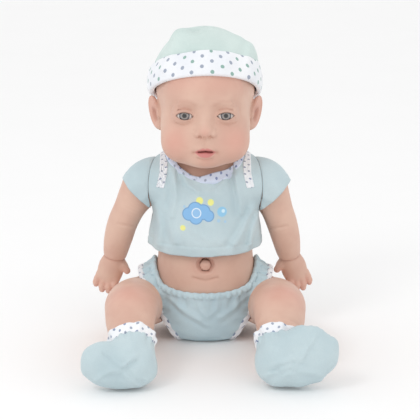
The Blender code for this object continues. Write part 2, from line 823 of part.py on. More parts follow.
def exit_distance(direction, centre, radii):
    """How far a ray from the head's centre runs before it leaves this ellipsoid."""
    a = b = c = 0.0
    for k in range(3):
        from_centre = HEAD_CENTRE[k] - centre[k]
        a += (direction[k] / radii[k]) ** 2
        b += 2 * direction[k] * from_centre / radii[k] ** 2
        c += (from_centre / radii[k]) ** 2
    return (-b + math.sqrt(max(b * b - 4 * a * (c - 1), 0.0))) / (2 * a)


def head_form(name, grow, slot=None, around=28, along=20, nose=True):
    mesh = bmesh.new()
    bmesh.ops.create_uvsphere(mesh, u_segments=around, v_segments=along, radius=1.0)
    for vert in mesh.verts:
        direction = vert.co.normalized()
        reach = sum(exit_distance(direction, c, r) ** HEAD_BLEND for c, r in HEAD_FORMS) ** (1 / HEAD_BLEND)
        vert.co = HEAD_CENTRE + direction * (reach + grow)
    head = from_bmesh(mesh, name, slot)
    if nose:
        join(head, ball(f"{name}_nose", NOSE_CENTRE, NOSE_RADII, around=12, along=8))
    return head


def head_parts():
    head = head_form("head", 0.0, "skin_vinyl")
    for side, s in SIDES.items():
        centre = (s * EAR_CENTRE[0], EAR_CENTRE[1], EAR_CENTRE[2])
        ear = ball(f"{side}_ear", centre, EAR_RADII, around=12, along=10)
        join(head, ear)
    cavity = head_form("head_cavity", -LIMB_WALL - 0.001, around=14, along=10, nose=False)
    depth = HEAD_BASE + LIMB_WALL - 0.150
    cut(cavity, drum("cavity_floor", (0, NECK_Y, 0.150), (0, 0, 1), 0.060, depth, sides=32))
    for side, s in SIDES.items():
        eye_at = (s * EYE_X, EYE_Y, EYE_Z)
        cut(cavity, ball(f"{side}_eye_wall", eye_at, (EYE_RADIUS + 0.003,) * 3, around=12, along=8))
    cut(head, cavity)
    cut(
        head,
        drum("head_base_cut", (0, NECK_Y, 0.150), (0, 0, 1), 0.0300, HEAD_BASE - 0.150, sides=32),
        drum("head_neck_hole", (0, NECK_Y, 0.150), (0, 0, 1), NECK_PLUG_RADIUS + GAP, 0.040, sides=24),
    )
    for side, s in SIDES.items():
        eye_at = (s * EYE_X, EYE_Y, EYE_Z)
        cut(head, ball(f"{side}_eye_socket", eye_at, (EYE_RADIUS + GAP,) * 3, around=16, along=12))
        ball(f"{side}_eye", eye_at, (EYE_RADIUS,) * 3, "eye_acrylic", around=14, along=10)
    return head


def hat_plane(name, rise, keep_above):
    """A big block whose face is the sloping plane of the hat's edge, raised by rise."""
    size = 0.30
    way = -1 if keep_above else 1
    tilt = Matrix.Rotation(-HAT_SLOPE, 4, "X")
    normal = tilt @ Vector((0, 0, 1))
    centre = Vector((0, HAT_EDGE_Y, HAT_EDGE_Z)) + normal * (rise + way * size / 2)
    return block(name, centre, (size, size, size), tilt_x=-HAT_SLOPE)


def hat():
    crown = ball("hat_crown", HAT_CENTRE, HAT_RADII, "hat_mint_knit", around=26, along=18)
    cut(crown, head_form("hat_inside", GAP * 3, nose=False))
    cut(crown, hat_plane("crown_edge", 0.0, True))
    band_radii = [r + 0.0022 for r in HAT_RADII]
    cuff = ball("hat_cuff", HAT_CENTRE, band_radii, "dotted_cotton", around=26, along=18)
    cut(cuff, ball("cuff_inside", HAT_CENTRE, [r + GAP for r in HAT_RADII], around=26, along=18))
    cut(cuff, hat_plane("cuff_lower", -0.0005, True), hat_plane("cuff_upper", CUFF_HEIGHT, False))


# ---------------------------------------------------------------- arms and legs

def fingers(label, side, grow=0.0):
    """Four fingers and a thumb, as rounded cones."""
    path = ARM_PATHS[side]
    s = SIDES[side]
    tip = Vector(path[-1][:3])
    made = []
    for k, (across, drop, forwards) in enumerate(FINGERS):
        root = Vector((s * (tip.x + across), tip.y, tip.z + 0.004))
        end = root + Vector((s * (0.003 + across * 0.12), forwards, -drop))
        mid = root.lerp(end, 0.55) + Vector((s * 0.001, -0.002, 0))
        made.append(
            sweep(
                f"{label}_finger_{k + 1}",
                [(*root, 0.0037 + grow, 0.0045 + grow), (*mid, 0.0035 + grow, 0.0040 + grow),
                 (*end, 0.0030 + grow, 0.0032 + grow)],
                sides=6,
            )
        )
    palm = Vector(path[-3][:3])
    root = Vector((s * (palm.x - 0.0075), palm.y - 0.001, palm.z + 0.0045))
    end = root + Vector((-s * 0.0080, -0.0040, -0.0090))
    made.append(
        sweep(
            f"{label}_thumb",
            [(*root, 0.0052 + grow, 0.0052 + grow), (*root.lerp(end, 0.6), 0.0042 + grow, 0.0042 + grow),
             (*end, 0.0034 + grow, 0.0034 + grow)],
            sides=6,
        )
    )
    return made


def arm(side):
    joint = shoulder(side)
    point, axis = joint
    stations = on_side(ARM_PATHS[side], side)
    body = sweep(f"{side}_arm", stations, "skin_vinyl", sides=16)
    join(body, *fingers(f"{side}_arm", side))
    cut(body, shoulder_face(f"{side}_arm_root_face", joint, GAP))
    hollow = sweep(f"{side}_arm_cavity", stations[:7], sides=8, grow=-LIMB_WALL)
    cut(hollow, shoulder_face(f"{side}_arm_cavity_face", joint, GAP + LIMB_WALL))
    cut(body, hollow)
    stem = SOCKETS["shoulder"]["stem"] + GAP
    cut(body, drum(f"{side}_arm_stem_hole", point - axis * 0.01, axis, stem, 0.016, sides=20))
    joint_plug(f"{side}_shoulder_plug", joint, SOCKETS["shoulder"], LIMB_WALL + GAP)
    return body


def shoulder_face(name, joint, offset):
    """A cutter for everything on the torso's side of a joint face."""
    point, axis = joint
    return drum(name, point + axis * offset, -axis, 0.060, 0.060, sides=32)


def leg_form(name, side, grow=0.0, slot=None, sides=16):
    body = sweep(name, on_side(LEG_PATH, side), slot, sides=sides, grow=grow, hint=(1, 0, 0))
    foot = sweep(f"{name}_foot", on_side(FOOT_PATHS[side], side), sides=12, grow=grow)
    join(body, foot)
    cut(body, hip_face(f"{name}_root_face", side, GAP - grow))
    return body


def hip_face(name, side, offset):
    """A cutter for what lies on the torso's side of a hip: flat at the joint, then tapering away."""
    point, axis = hip(side)
    depth = 0.040
    start = point + axis * offset
    widest = THIGH_FLAT + THIGH_TAPER * depth
    return drum(name, start, -axis, THIGH_FLAT, depth, sides=40, tip_radius=widest)


def leg(side):
    joint = hip(side)
    point, axis = joint
    body = leg_form(f"{side}_leg", side, slot="skin_vinyl")
    stations = on_side(LEG_PATH, side)[1:11]
    hollow = sweep(f"{side}_leg_cavity", stations, sides=10, grow=-LIMB_WALL, hint=(1, 0, 0))
    cut(hollow, hip_face(f"{side}_leg_cavity_face", side, GAP + LIMB_WALL))
    cut(body, hollow)
    stem = SOCKETS["hip"]["stem"] + GAP
    cut(body, drum(f"{side}_leg_stem_hole", point - axis * 0.01, axis, stem, 0.016, sides=20))
    joint_plug(f"{side}_hip_plug", joint, SOCKETS["hip"], LIMB_WALL + GAP)
    return body


# ---------------------------------------------------------------- clothes


def neckline(name, radius, start=0.0):
    """A leaning drum, lower at the front, that marks the shirt's neck opening or its collar."""
    axis = Matrix.Rotation(NECKLINE_SLOPE, 3, "X") @ Vector((0, 0, 1))
    base = Vector((0, NECKLINE_Y, 0.150)) - axis * start
    return drum(name, base, axis, radius, 0.060 + 2 * start, sides=24, half_step=True)


def shirt_form(name, grow, slot=None, reach=0.0):
    body = loft(name, section_rings(SHIRT_SECTIONS, grow, 24), slot)
    for side in SIDES:
        point, axis = shoulder(side)
        start = point - axis * (0.024 + grow)
        ring = drum(f"{name}_{side}_armhole", start, axis, SHOULDER_RADIUS + 0.003 + grow, 0.031)
        join(body, ring)
        cut(body, past(f"{name}_{side}_face", point, axis, reach, radius=SHOULDER_RADIUS + 0.0115 + grow))
    return body


def shirt():
    body = shirt_form("shirt_body", 0.0, "blue_cotton")
    cut(
        body,
        shirt_form("shirt_inside", -CLOTH, reach=0.001),
        block("shirt_hem", (0, 0, SHIRT_HEM_Z - 0.05), (0.2, 0.2, 0.1)),
        neckline("shirt_neck_opening", NECKLINE_RADIUS + COLLAR_WIDTH + GAP),
    )
    collar = shirt_form("shirt_collar", 0.0008, "dotted_cotton")
    cut(collar, shirt_form("collar_inside", -CLOTH, reach=0.001))
    keep_inside(collar, neckline("collar_outer_edge", NECKLINE_RADIUS + COLLAR_WIDTH))
    cut(collar, neckline("collar_inner_edge", NECKLINE_RADIUS, start=0.004))


def sleeve(side):
    """A short sleeve that turns with the arm and meets the shirt at a round armhole."""
    joint = shoulder(side)
    body = sweep(f"{side}_sleeve", on_side(SLEEVE_PATH, side), "blue_cotton", sides=20, end_cap=False)
    further = [*SLEEVE_PATH, (0.0738, 0.0030, 0.1335, 0.0190, 0.0190)]
    cut(
        body,
        sweep(f"{side}_sleeve_inside", on_side(further, side), sides=20, grow=-CLOTH),
        sweep(f"{side}_sleeve_arm_space", on_side(ARM_PATHS[side], side), sides=16, grow=2 * GAP),
        shoulder_face(f"{side}_sleeve_root_face", joint, GAP),
    )


def waist_plane(name, drop, above):
    """The half space above or below the sloping waist, lowered by drop."""
    normal = Matrix.Rotation(WAIST_SLOPE, 3, "X") @ Vector((0, 0, 1))
    return past(name, Vector((0, 0, WAIST_Z)) - normal * drop, normal if above else -normal)


def briefs():
    """Briefs in four pieces: the seat, an elastic waist and a binding round each leg opening."""
    edge = BAND_WIDTH + GAP
    body = torso_form("briefs_body", BRIEFS_EASE, "blue_cotton")
    waist = torso_form("briefs_waistband", BAND_EASE, "blue_cotton")
    cut(body, torso_form("briefs_torso_space", 2 * GAP, reach=0.001), waist_plane("briefs_top", edge, True))
    cut(
        waist,
        torso_form("waist_torso_space", 2 * GAP, reach=0.001),
        waist_plane("waistband_top", 0.0, True),
        waist_plane("waistband_bottom", BAND_WIDTH, False),
    )
    for side in SIDES:
        point, axis = hip(side)
        cut(body, past(f"{side}_briefs_edge", point, axis, -edge))
        cut(waist, past(f"{side}_waist_edge", point, axis, -edge))
        binding = torso_form(f"{side}_leg_binding", BAND_EASE, "dotted_cotton")
        cut(
            binding,
            torso_form(f"{side}_binding_space", 2 * GAP, reach=0.001),
            past(f"{side}_binding_inner", point, -axis, BAND_WIDTH),
            waist_plane(f"{side}_binding_top", edge, True),
            block(f"{side}_floor", (0, 0, -0.05), (0.3, 0.3, 0.1)),
        )


def bootie(side):
    """A loose fabric bag round the foot, with a cuff round the ankle."""
    body = sweep(f"{side}_bootie", on_side(BOOTIE_PATHS[side], side), "blue_cotton", sides=16)
    stations = on_side(LEG_PATH, side)[-4:]
    ankle = Vector(stations[-2][:3])
    along = (Vector(stations[-1][:3]) - Vector(stations[-3][:3])).normalized()
    join(body, sweep(f"{side}_bootie_ankle", stations, sides=16, grow=0.0028, hint=(1, 0, 0)))
    cut(
        body,
        past(f"{side}_bootie_top", ankle, -along, -ANKLE_CUFF[1] - GAP),
        leg_form(f"{side}_bootie_space", side, grow=2 * GAP),
        block(f"{side}_bootie_floor", (0, 0, -0.05), (0.5, 0.5, 0.1)),
    )
    cuff = sweep(f"{side}_bootie_cuff", stations, "dotted_cotton", sides=18, grow=0.0036, hint=(1, 0, 0))
    cut(
        cuff,
        leg_form(f"{side}_cuff_space", side, grow=2 * GAP),
        past(f"{side}_cuff_upper", ankle, -along, -ANKLE_CUFF[0]),
        past(f"{side}_cuff_lower", ankle, along, ANKLE_CUFF[1]),
    )


# ---------------------------------------------------------------- the doll


def build():
    start_scene()
    front_shell()
    back_shell()
    battery_cover()
    for post, x, z in SCREW_POSTS:
        machine_screw(f"{post}_screw", (x, 0.0290, z), 0.0340)
    electronics()
    neck_parts()
    head_parts()
    hat()
    shirt()
    briefs()
    for side in SIDES:
        arm(side)
        sleeve(side)
        leg(side)
        bootie(side)


build()
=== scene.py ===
import json
import math
from concurrent.futures import ThreadPoolExecutor

import bpy
import numpy as np
from mathutils import Matrix, Vector


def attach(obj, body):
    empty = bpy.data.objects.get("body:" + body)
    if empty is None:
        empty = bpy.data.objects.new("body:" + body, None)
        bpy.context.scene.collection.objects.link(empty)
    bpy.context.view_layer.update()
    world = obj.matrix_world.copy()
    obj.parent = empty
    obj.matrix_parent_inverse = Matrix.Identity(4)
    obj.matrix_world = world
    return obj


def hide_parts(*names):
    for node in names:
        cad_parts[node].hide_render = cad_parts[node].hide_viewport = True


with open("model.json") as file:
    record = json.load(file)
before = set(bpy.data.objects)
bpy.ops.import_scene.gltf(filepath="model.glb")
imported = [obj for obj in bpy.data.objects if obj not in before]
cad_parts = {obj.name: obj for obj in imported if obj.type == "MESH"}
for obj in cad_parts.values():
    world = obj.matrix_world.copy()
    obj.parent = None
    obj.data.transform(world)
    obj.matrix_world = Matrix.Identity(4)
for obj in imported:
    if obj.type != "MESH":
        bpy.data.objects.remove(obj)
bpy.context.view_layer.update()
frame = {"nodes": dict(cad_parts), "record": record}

SIDES = {"right": -1.0, "left": 1.0}
GAP = 0.0003  # between a limb and the torso
CLOTH = 0.0011  # usual thickness of the cloth
WORKERS = ThreadPoolExecutor(4)

# ---------------------------------------------------------------- distance fields (metres, numpy)


def length(q):
    return np.sqrt((q * q).sum(-1))


def bell(distance, width):
    """1 at no distance, falling off over that width."""
    return np.exp(-((distance / width) ** 2))


def spot(p, centre, width):
    """A bell round a point."""
    return bell(length(p - np.array(centre)), width)


def ellipsoid(p, centre, radii, turn=None):
    """About the distance from an ellipsoid; turn is in degrees about +Y."""
    q = p - np.array(centre, float)
    if turn is not None:
        q = q @ np.array(Matrix.Rotation(math.radians(turn), 3, "Y"), float)
    q = q / np.array(radii, float)
    k0 = length(q)
    k1 = length(q / np.array(radii, float))
    return k0 * (k0 - 1.0) / np.maximum(k1, 1e-9)


def join(a, b, k):
    """Smooth union over a width k."""
    h = np.clip(0.5 + 0.5 * (b - a) / k, 0.0, 1.0)
    return b + (a - b) * h - k * h * (1.0 - h)


def keep(a, b, k):
    """What is in both, with an edge rounded over k."""
    return -join(-a, -b, k)


def carve(a, b, k):
    """a without b."""
    return keep(a, -b, k)


def unit(v):
    v = np.array(v, float)
    return v / np.linalg.norm(v)


def plane(p, point, normal):
    """Negative behind the plane."""
    return (p - np.array(point, float)) @ unit(normal)


def along_line(p, a, b):
    """How far along the line a point lies, from 0 to 1, and its distance from the line."""
    a, b = np.array(a, float), np.array(b, float)
    t = np.clip(((p - a) @ (b - a)) / ((b - a) @ (b - a)), 0.0, 1.0)
    return t, length(p - a - t[..., None] * (b - a))


def cone(p, a, b, ra, rb):
    """A cone with round ends."""
    t, d = along_line(p, a, b)
    return d - (ra + (rb - ra) * t)


def from_axis(p, point, axis):
    """Height along an axis of length 1, and distance from it."""
    q = p - np.array(point, float)
    h = q @ axis
    return h, length(q - h[:, None] * axis)


def rod(p, start, axis, radius, run):
    """A flat-ended cylinder."""
    h, away = from_axis(p, start, unit(axis))
    return np.maximum(away - radius, np.maximum(-h, h - run))


def bored(d, p, joint, bores):
    """d without bores on a joint's axis, each given by its start along the axis, its radius and its length."""
    point, axis = joint
    for start, radius, run in bores:
        d = np.maximum(d, -rod(p, np.array(point) + start * unit(axis), axis, radius, run))
    return d


def chain(p, points, k=0.001):
    """Rounded cones through (x, y, z, radius) points."""
    d = None
    for a, b in zip(points[:-1], points[1:]):
        c = cone(p, a[:3], b[:3], a[3], b[3])
        d = c if d is None else join(d, c, k)
    return d


def ridge(p, points, width):
    """A bell along a polyline."""
    d = None
    for a, b in zip(points[:-1], points[1:]):
        c = along_line(p, a, b)[1]
        d = c if d is None else np.minimum(d, c)
    return bell(d, width)


def smooth_rows(rows, times=4):
    """Catmull-Rom through rows of numbers."""
    rows = np.array(rows, float)
    padded = np.vstack([2 * rows[0] - rows[1], rows, 2 * rows[-1] - rows[-2]])
    out = []
    for i in range(1, len(padded) - 2):
        a, b, c, d = padded[i - 1 : i + 3]
        for j in range(times):
            t = j / times
            out.append(0.5 * (2 * b + (c - a) * t + (2 * a - 5 * b + 4 * c - d) * t * t
                              + (3 * b - a - 3 * c + d) * t ** 3))
    out.append(rows[-1])
    return np.array(out)


def tube(p, stations, through, grow=0.0):
    """An elliptical sweep: each station is a centre, its radius across and its radius along through."""
    rows = smooth_rows(stations)
    best = None
    for a, b in zip(rows[:-1], rows[1:]):
        run = b[:3] - a[:3]
        u = unit(run)
        w = unit(np.array(through, float) - (np.array(through, float) @ u) * u)
        s = np.cross(u, w)
        t = np.clip(((p - a[:3]) @ run) / (run @ run), 0.0, 1.0)
        q = p - a[:3] - t[..., None] * run
        ra = a[3] + (b[3] - a[3]) * t + grow
        rb = a[4] + (b[4] - a[4]) * t + grow
        over = (q @ u) / np.minimum(ra, rb)
        rho = np.sqrt(((q @ s) / ra) ** 2 + ((q @ w) / rb) ** 2 + over ** 2)
        reach = length(q)
        d = reach - reach / np.maximum(rho, 1e-6)
        d = np.where(rho < 1e-5, -np.minimum(ra, rb), d)
        best = d if best is None else np.minimum(best, d)
    return best


def step_between(x, low, high):
    """Smooth step from 0 at low to 1 at high, which may be the smaller."""
    t = np.clip((x - low) / (high - low), 0.0, 1.0)
    return t * t * (3 - 2 * t)


# ---------------------------------------------------------------- from fields to meshes

CORNERS = [(i, j, k) for i in (0, 1) for j in (0, 1) for k in (0, 1)]
EDGES = [(a, b) for a in CORNERS for b in CORNERS
         if sum(abs(x - y) for x, y in zip(a, b)) == 1 and a < b]


def in_parts(field, points, size=20_000):
    """The field at many points, worked out in parts on several threads."""
    parts = [points[i : i + size] for i in range(0, len(points), size)]
    if len(parts) < 2:
        return field(points)
    return np.concatenate(list(WORKERS.map(field, parts)))


def slope(field, points, reach):
    """The field's gradient."""
    out = np.empty_like(points)
    for k in range(3):
        move = np.zeros(3)
        move[k] = reach
        out[:, k] = (in_parts(field, points + move) - in_parts(field, points - move)) / (2 * reach)
    return out


def onto(field, points, step, times=2):
    """The points moved to the field's zero surface, by less than a step at a time."""
    for _ in range(times):
        g = slope(field, points, step * 0.2)
        d = in_parts(field, points)
        move = g * (d / np.maximum((g * g).sum(1), 0.05))[:, None]
        size = length(move)
        move *= np.minimum(1.0, step * 0.7 / np.maximum(size, 1e-12))[:, None]
        points = points - move
    return points


def lattice(field, low, high, step, block=4, slack=1.7):
    """The field on a grid: exact near the surface, and one value per block elsewhere."""
    low = np.array(low, float) - step * 3
    count = np.ceil((np.array(high, float) + step * 3 - low) / (step * block)).astype(int)
    grid = np.indices(count).reshape(3, -1).T
    centres = low + step * (grid * block + (block - 1) / 2)
    rough = in_parts(field, centres)
    values = np.repeat(np.repeat(np.repeat(rough.reshape(count), block, 0), block, 1), block, 2)
    near = grid[np.abs(rough) < step * block * slack]
    inner = np.indices((block,) * 3).reshape(3, -1).T
    fine = (near[:, None, :] * block + inner[None, :, :]).reshape(-1, 3)
    values[fine[:, 0], fine[:, 1], fine[:, 2]] = in_parts(field, low + step * fine)
    return low, values


def edges_of(quads):
    return np.concatenate([quads[:, [k, (k + 1) % 4]] for k in range(4)])


def polygonise(field, low, high, step, slack=1.7, relax=2):
    """Quads on the field's zero surface, evened out and put back on it."""
    low, v = lattice(field, low, high, step, slack=slack)
    v = np.where(v == 0, 1e-9, v)
    inside = v < 0
    n = np.array(v.shape) - 1
    total = sum(inside[i : n[0] + i, j : n[1] + j, k : n[2] + k].astype(np.int8) for i, j, k in CORNERS)
    cells = np.argwhere((total > 0) & (total < 8))
    index = -np.ones(n, np.int64)
    index[tuple(cells.T)] = np.arange(len(cells))
    total_at = np.zeros((len(cells), 3))
    hits = np.zeros(len(cells))
    for a, b in EDGES:
        va = v[tuple((cells + a).T)]
        vb = v[tuple((cells + b).T)]
        cross = (va < 0) != (vb < 0)
        t = np.where(cross, va / np.where(cross, va - vb, 1.0), 0.0)
        at = np.array(a) + t[:, None] * (np.array(b) - np.array(a))
        total_at += at * cross[:, None]
        hits += cross
    points = low + step * (cells + total_at / hits[:, None])
    quads = []
    for axis in range(3):
        u, w = [(1, 2), (2, 0), (0, 1)][axis]
        first = [slice(1, n[k]) for k in range(3)]
        first[axis] = slice(0, n[axis])
        second = list(first)
        second[axis] = slice(1, n[axis] + 1)
        a, b = inside[tuple(first)], inside[tuple(second)]
        for cross, flip in ((a & ~b, False), (~a & b, True)):
            at = np.argwhere(cross)
            for k in range(3):
                if k != axis:
                    at[:, k] += 1
            corner = []
            for du, dw in ((0, 0), (-1, 0), (-1, -1), (0, -1)):
                c = at.copy()
                c[:, u] += du
                c[:, w] += dw
                corner.append(index[tuple(c.T)])
            corner = corner[::-1] if flip else corner
            quads.append(np.stack(corner, 1))
    quads = np.concatenate(quads)
    pairs = edges_of(quads)
    points = onto(field, points, step)
    for _ in range(relax):
        points = onto(field, evened(points, pairs), step)
    return points, quads


def evened(points, pairs, fixed=None):
    """Each point moved towards the middle of its neighbours."""
    total = np.zeros_like(points)
    for k in range(3):
        total[:, k] = np.bincount(pairs[:, 0], points[pairs[:, 1], k], len(points))
        total[:, k] += np.bincount(pairs[:, 1], points[pairs[:, 0], k], len(points))
    count = np.bincount(pairs.ravel(), minlength=len(points))
    out = points + 0.5 * (total / np.maximum(count, 1)[:, None] - points)
    if fixed is not None:
        out[fixed] = points[fixed]
    return out


def compact(points, quads):
    """Without the points that no quad uses."""
    used = np.unique(quads)
    place = -np.ones(len(points), np.int64)
    place[used] = np.arange(len(used))
    return points[used], place[quads]


def rim_of(quads):
    """All edges, and those that only one face has."""
    pairs = edges_of(quads)
    key = np.sort(pairs, axis=1)
    _, where, uses = np.unique(key, axis=0, return_index=True, return_counts=True)
    return pairs, pairs[where[uses == 1]]


def open_sheet(field, trims, low, high, step, slack=1.7):
    """The field's surface where every trim is negative, with its edge exactly on the trims."""

    def trim(p):
        return np.max([g(p) for g in trims], axis=0)

    points, quads = polygonise(lambda p: np.maximum(field(p), trim(p)), low, high, step, slack, relax=1)
    middle = points[quads].mean(1)
    quads = quads[in_parts(field, middle) > in_parts(trim, middle)]
    points, quads = compact(points, quads)
    pairs, rim = rim_of(quads)
    edge = np.unique(rim)
    for _ in range(5):
        at = evened(points, rim)[edge]
        for _ in range(2):
            at = onto(trim, at, step, 2)
            at = onto(field, at, step, 2)
        points[edge] = at
    for _ in range(4):
        points = evened(points, pairs, fixed=edge)
        loose = np.ones(len(points), bool)
        loose[edge] = False
        points[loose] = onto(field, points[loose], step, 1)
    return points, quads


def to_object(name, points, quads, material):
    """A smooth-shaded object from arrays."""
    mesh = bpy.data.meshes.new(name)
    mesh.vertices.add(len(points))
    mesh.vertices.foreach_set("co", points.astype(np.float32).ravel())
    mesh.loops.add(quads.size)
    mesh.loops.foreach_set("vertex_index", quads.astype(np.int32).ravel())
    mesh.polygons.add(len(quads))
    mesh.polygons.foreach_set("loop_start", np.arange(0, quads.size, quads.shape[1], dtype=np.int32))
    mesh.update(calc_edges=True)
    mesh.validate()
    mesh.shade_smooth()
    mesh.materials.append(material)
    obj = bpy.data.objects.new(name, mesh)
    bpy.context.scene.collection.objects.link(obj)
    return obj


def paint(obj, name, values):
    made = obj.data.attributes.new(name, "FLOAT", "POINT")
    made.data.foreach_set("value", np.asarray(values, np.float32))


def lay_out(obj, u, v, period=None):
    """A UV map in metres from values at the points; u runs round with that period."""
    corners = np.empty(len(obj.data.loops), np.int32)
    obj.data.loops.foreach_get("vertex_index", corners)
    start = np.empty(len(obj.data.polygons), np.int32)
    obj.data.polygons.foreach_get("loop_start", start)
    many = np.empty(len(obj.data.polygons), np.int32)
    obj.data.polygons.foreach_get("loop_total", many)
    cu, cv = u[corners], v[corners]
    if period is not None:
        first = np.repeat(cu[start], many)
        cu = cu - period * np.round((cu - first) / period)
    layer = obj.data.uv_layers.new(name="cloth")
    layer.data.foreach_set("uv", np.stack([cu, cv], 1).astype(np.float32).ravel())


def solidify(obj, thickness=CLOTH):
    thick = obj.modifiers.new("cloth_thickness", "SOLIDIFY")
    thick.thickness = thickness
    thick.offset = -1.0
    return obj


def settle(obj, body, slot, *nodes):
    """Ties a piece to its body and hides the nodes that it stands for; slot is not used."""
    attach(obj, body)
    if nodes:
        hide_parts(*nodes)
    return obj


# ---------------------------------------------------------------- materials


class Paint:
    """A material and its node tree, with short ways to add nodes."""

    def __init__(self, name):
        self.material = bpy.data.materials.new(name)
        self.material.use_nodes = True
        self.tree = self.material.node_tree
        self.shader = self.tree.nodes["Principled BSDF"]

    def node(self, kind, inputs=None, **settings):
        made = self.tree.nodes.new("ShaderNode" + kind)
        for key, value in settings.items():
            setattr(made, key, value)
        for key, value in (inputs or {}).items():
            self.feed(made.inputs[key], value)
        return made

    def feed(self, socket, value):
        if isinstance(value, bpy.types.NodeSocket):
            self.tree.links.new(value, socket)
        elif isinstance(value, bpy.types.Node):
            self.tree.links.new(value.outputs[0], socket)
        else:
            socket.default_value = value

    def math(self, operation, a, b=0.0):
        return self.node("Math", {0: a, 1: b}, operation=operation).outputs[0]

    def times(self, a, b):
        return self.math("MULTIPLY", a, b)

    def mix(self, share, a, b):
        made = self.node("Mix", {"Factor": share}, data_type="RGBA")
        self.feed(made.inputs[6], a)
        self.feed(made.inputs[7], b)
        return made.outputs[2]

    def spread(self, value, low, high, to_low=0.0, to_high=1.0):
        inputs = {0: value, 1: low, 2: high, 3: to_low, 4: to_high}
        return self.node("MapRange", inputs, interpolation_type="SMOOTHSTEP").outputs[0]

    def noise(self, scale, detail=2.0, vector=None):
        where = self.place() if vector is None else vector
        inputs = {"Vector": where, "Scale": scale, "Detail": detail}
        return self.node("TexNoise", inputs).outputs[0]

    def place(self):
        return self.node("TexCoord").outputs["Object"]

    def value(self, name):
        return self.node("Attribute", attribute_name=name).outputs["Fac"]

    def bump(self, height, distance, strength=1.0, below=None):
        made = self.node("Bump", {"Height": height, "Distance": distance, "Strength": strength})
        if below is not None:
            self.feed(made.inputs["Normal"], below)
        return made.outputs[0]

    def finish(self, **inputs):
        """Feeds the shader's inputs, with _ for a space in their names."""
        for key, value in inputs.items():
            self.feed(self.shader.inputs[key.replace("_", " ")], value)
        return self.material


COURSES, WALES = 7800.0, 330.0  # radians of the loops per metre of height, and per radian round the body


def rgb(r, g, b):
    """An sRGB colour from 0 to 255, as linear RGBA."""
    parts = [(c / 255 / 12.92) if c <= 10 else ((c / 255 + 0.055) / 1.055) ** 2.4 for c in (r, g, b)]
    return (*parts, 1.0)


def vinyl(name):
    """Soft vinyl, tinted by the blush, shade, lip and line values that skin_paint stores."""
    m = Paint(name)
    base = rgb(217, 182, 164)
    warm = rgb(210, 171, 154)
    tone = m.mix(m.spread(m.noise(38.0, 3.0), 0.35, 0.7), base, warm)
    tone = m.mix(m.times(m.value("blush"), 0.75), tone, rgb(218, 152, 138))
    tone = m.mix(m.times(m.value("shade"), 0.8), tone, rgb(176, 122, 106))
    tone = m.mix(m.value("lip"), tone, rgb(203, 128, 124))
    tone = m.mix(m.value("line"), tone, rgb(96, 62, 52))
    pores = m.noise(2600.0, 2.0)
    soft = m.noise(420.0, 2.0)
    rough = m.spread(m.noise(160.0, 2.0), 0.3, 0.7, 0.46, 0.56)
    return m.finish(
        Base_Color=tone,
        Normal=m.bump(pores, 0.00004, 0.5, m.bump(soft, 0.0001, 0.35)),
        Roughness=m.math("SUBTRACT", rough, m.times(m.value("lip"), 0.16)),
        Specular_IOR_Level=0.38,
        Subsurface_Weight=0.0,
    )


def knit_height(m):
    """Rows of small loops, as a height, from the object's own coordinates."""
    at = m.node("SeparateXYZ", {0: m.place()})
    turn = m.math("ARCTAN2", at.outputs[0], at.outputs[1])
    around = m.math("SINE", m.times(turn, WALES))
    up = m.math("SINE", m.times(at.outputs[2], COURSES))
    cell = m.times(around, up)
    return m.math("ADD", cell, m.times(m.noise(1500.0, 2.0), 0.8))


def fabric(name, colour, low, pattern=None):
    """Fine cotton knit; pattern(m, base) may print on it."""
    m = Paint(name)
    base = m.mix(m.spread(m.noise(24.0, 3.0), 0.3, 0.75), colour, low)
    base = m.mix(m.spread(m.noise(1100.0, 1.0), 0.35, 0.8, 0.0, 0.35), base, low)
    if pattern is not None:
        base = pattern(m, base)
    creases = m.bump(m.noise(260.0, 3.0), 0.0006, 0.35)
    return m.finish(
        Base_Color=base,
        Normal=m.bump(knit_height(m), 0.00012, 0.45, creases),
        Roughness=m.spread(m.noise(500.0, 2.0), 0.3, 0.7, 0.82, 0.96),
        Sheen_Weight=0.25,
        Sheen_Roughness=0.5,
        Specular_IOR_Level=0.2,
    )


HAT_PITCH, TRIM_PITCH, COLLAR_PITCH = 0.0188, 0.0105, 0.0088


def dots(pitch, row, radius, first, second):
    """Rows of dots, every other row moved by half a pitch, in two colours; on the UV map in metres."""

    def pattern(m, base):
        at = m.node("SeparateXYZ", {0: m.node("UVMap", uv_map="cloth").outputs[0]})
        u = m.math("DIVIDE", at.outputs[0], pitch)
        v = m.math("DIVIDE", at.outputs[1], row)
        line = m.math("FLOOR", v)
        u = m.math("ADD", u, m.times(m.math("FLOORED_MODULO", line, 2.0), 0.5))
        column = m.math("FLOOR", u)
        du = m.times(m.math("SUBTRACT", m.math("FRACT", u), 0.5), pitch)
        dv = m.times(m.math("SUBTRACT", m.math("FRACT", v), 0.5), row)
        away = m.math("SQRT", m.math("ADD", m.times(du, du), m.times(dv, dv)))
        fray = m.times(m.math("SUBTRACT", m.noise(900.0, 1.0), 0.5), 0.0005)
        mask = m.spread(m.math("ADD", away, fray), radius - 0.00025, radius + 0.00025, 1.0, 0.0)
        cell = m.node("CombineXYZ", {0: column, 1: line, 2: 0.0})
        pick = m.node("TexWhiteNoise", {"Vector": cell.outputs[0]}, noise_dimensions="2D").outputs[0]
        ink = m.mix(m.math("GREATER_THAN", pick, 0.55), first, second)
        return m.mix(m.times(mask, 0.9), base, ink)

    return pattern


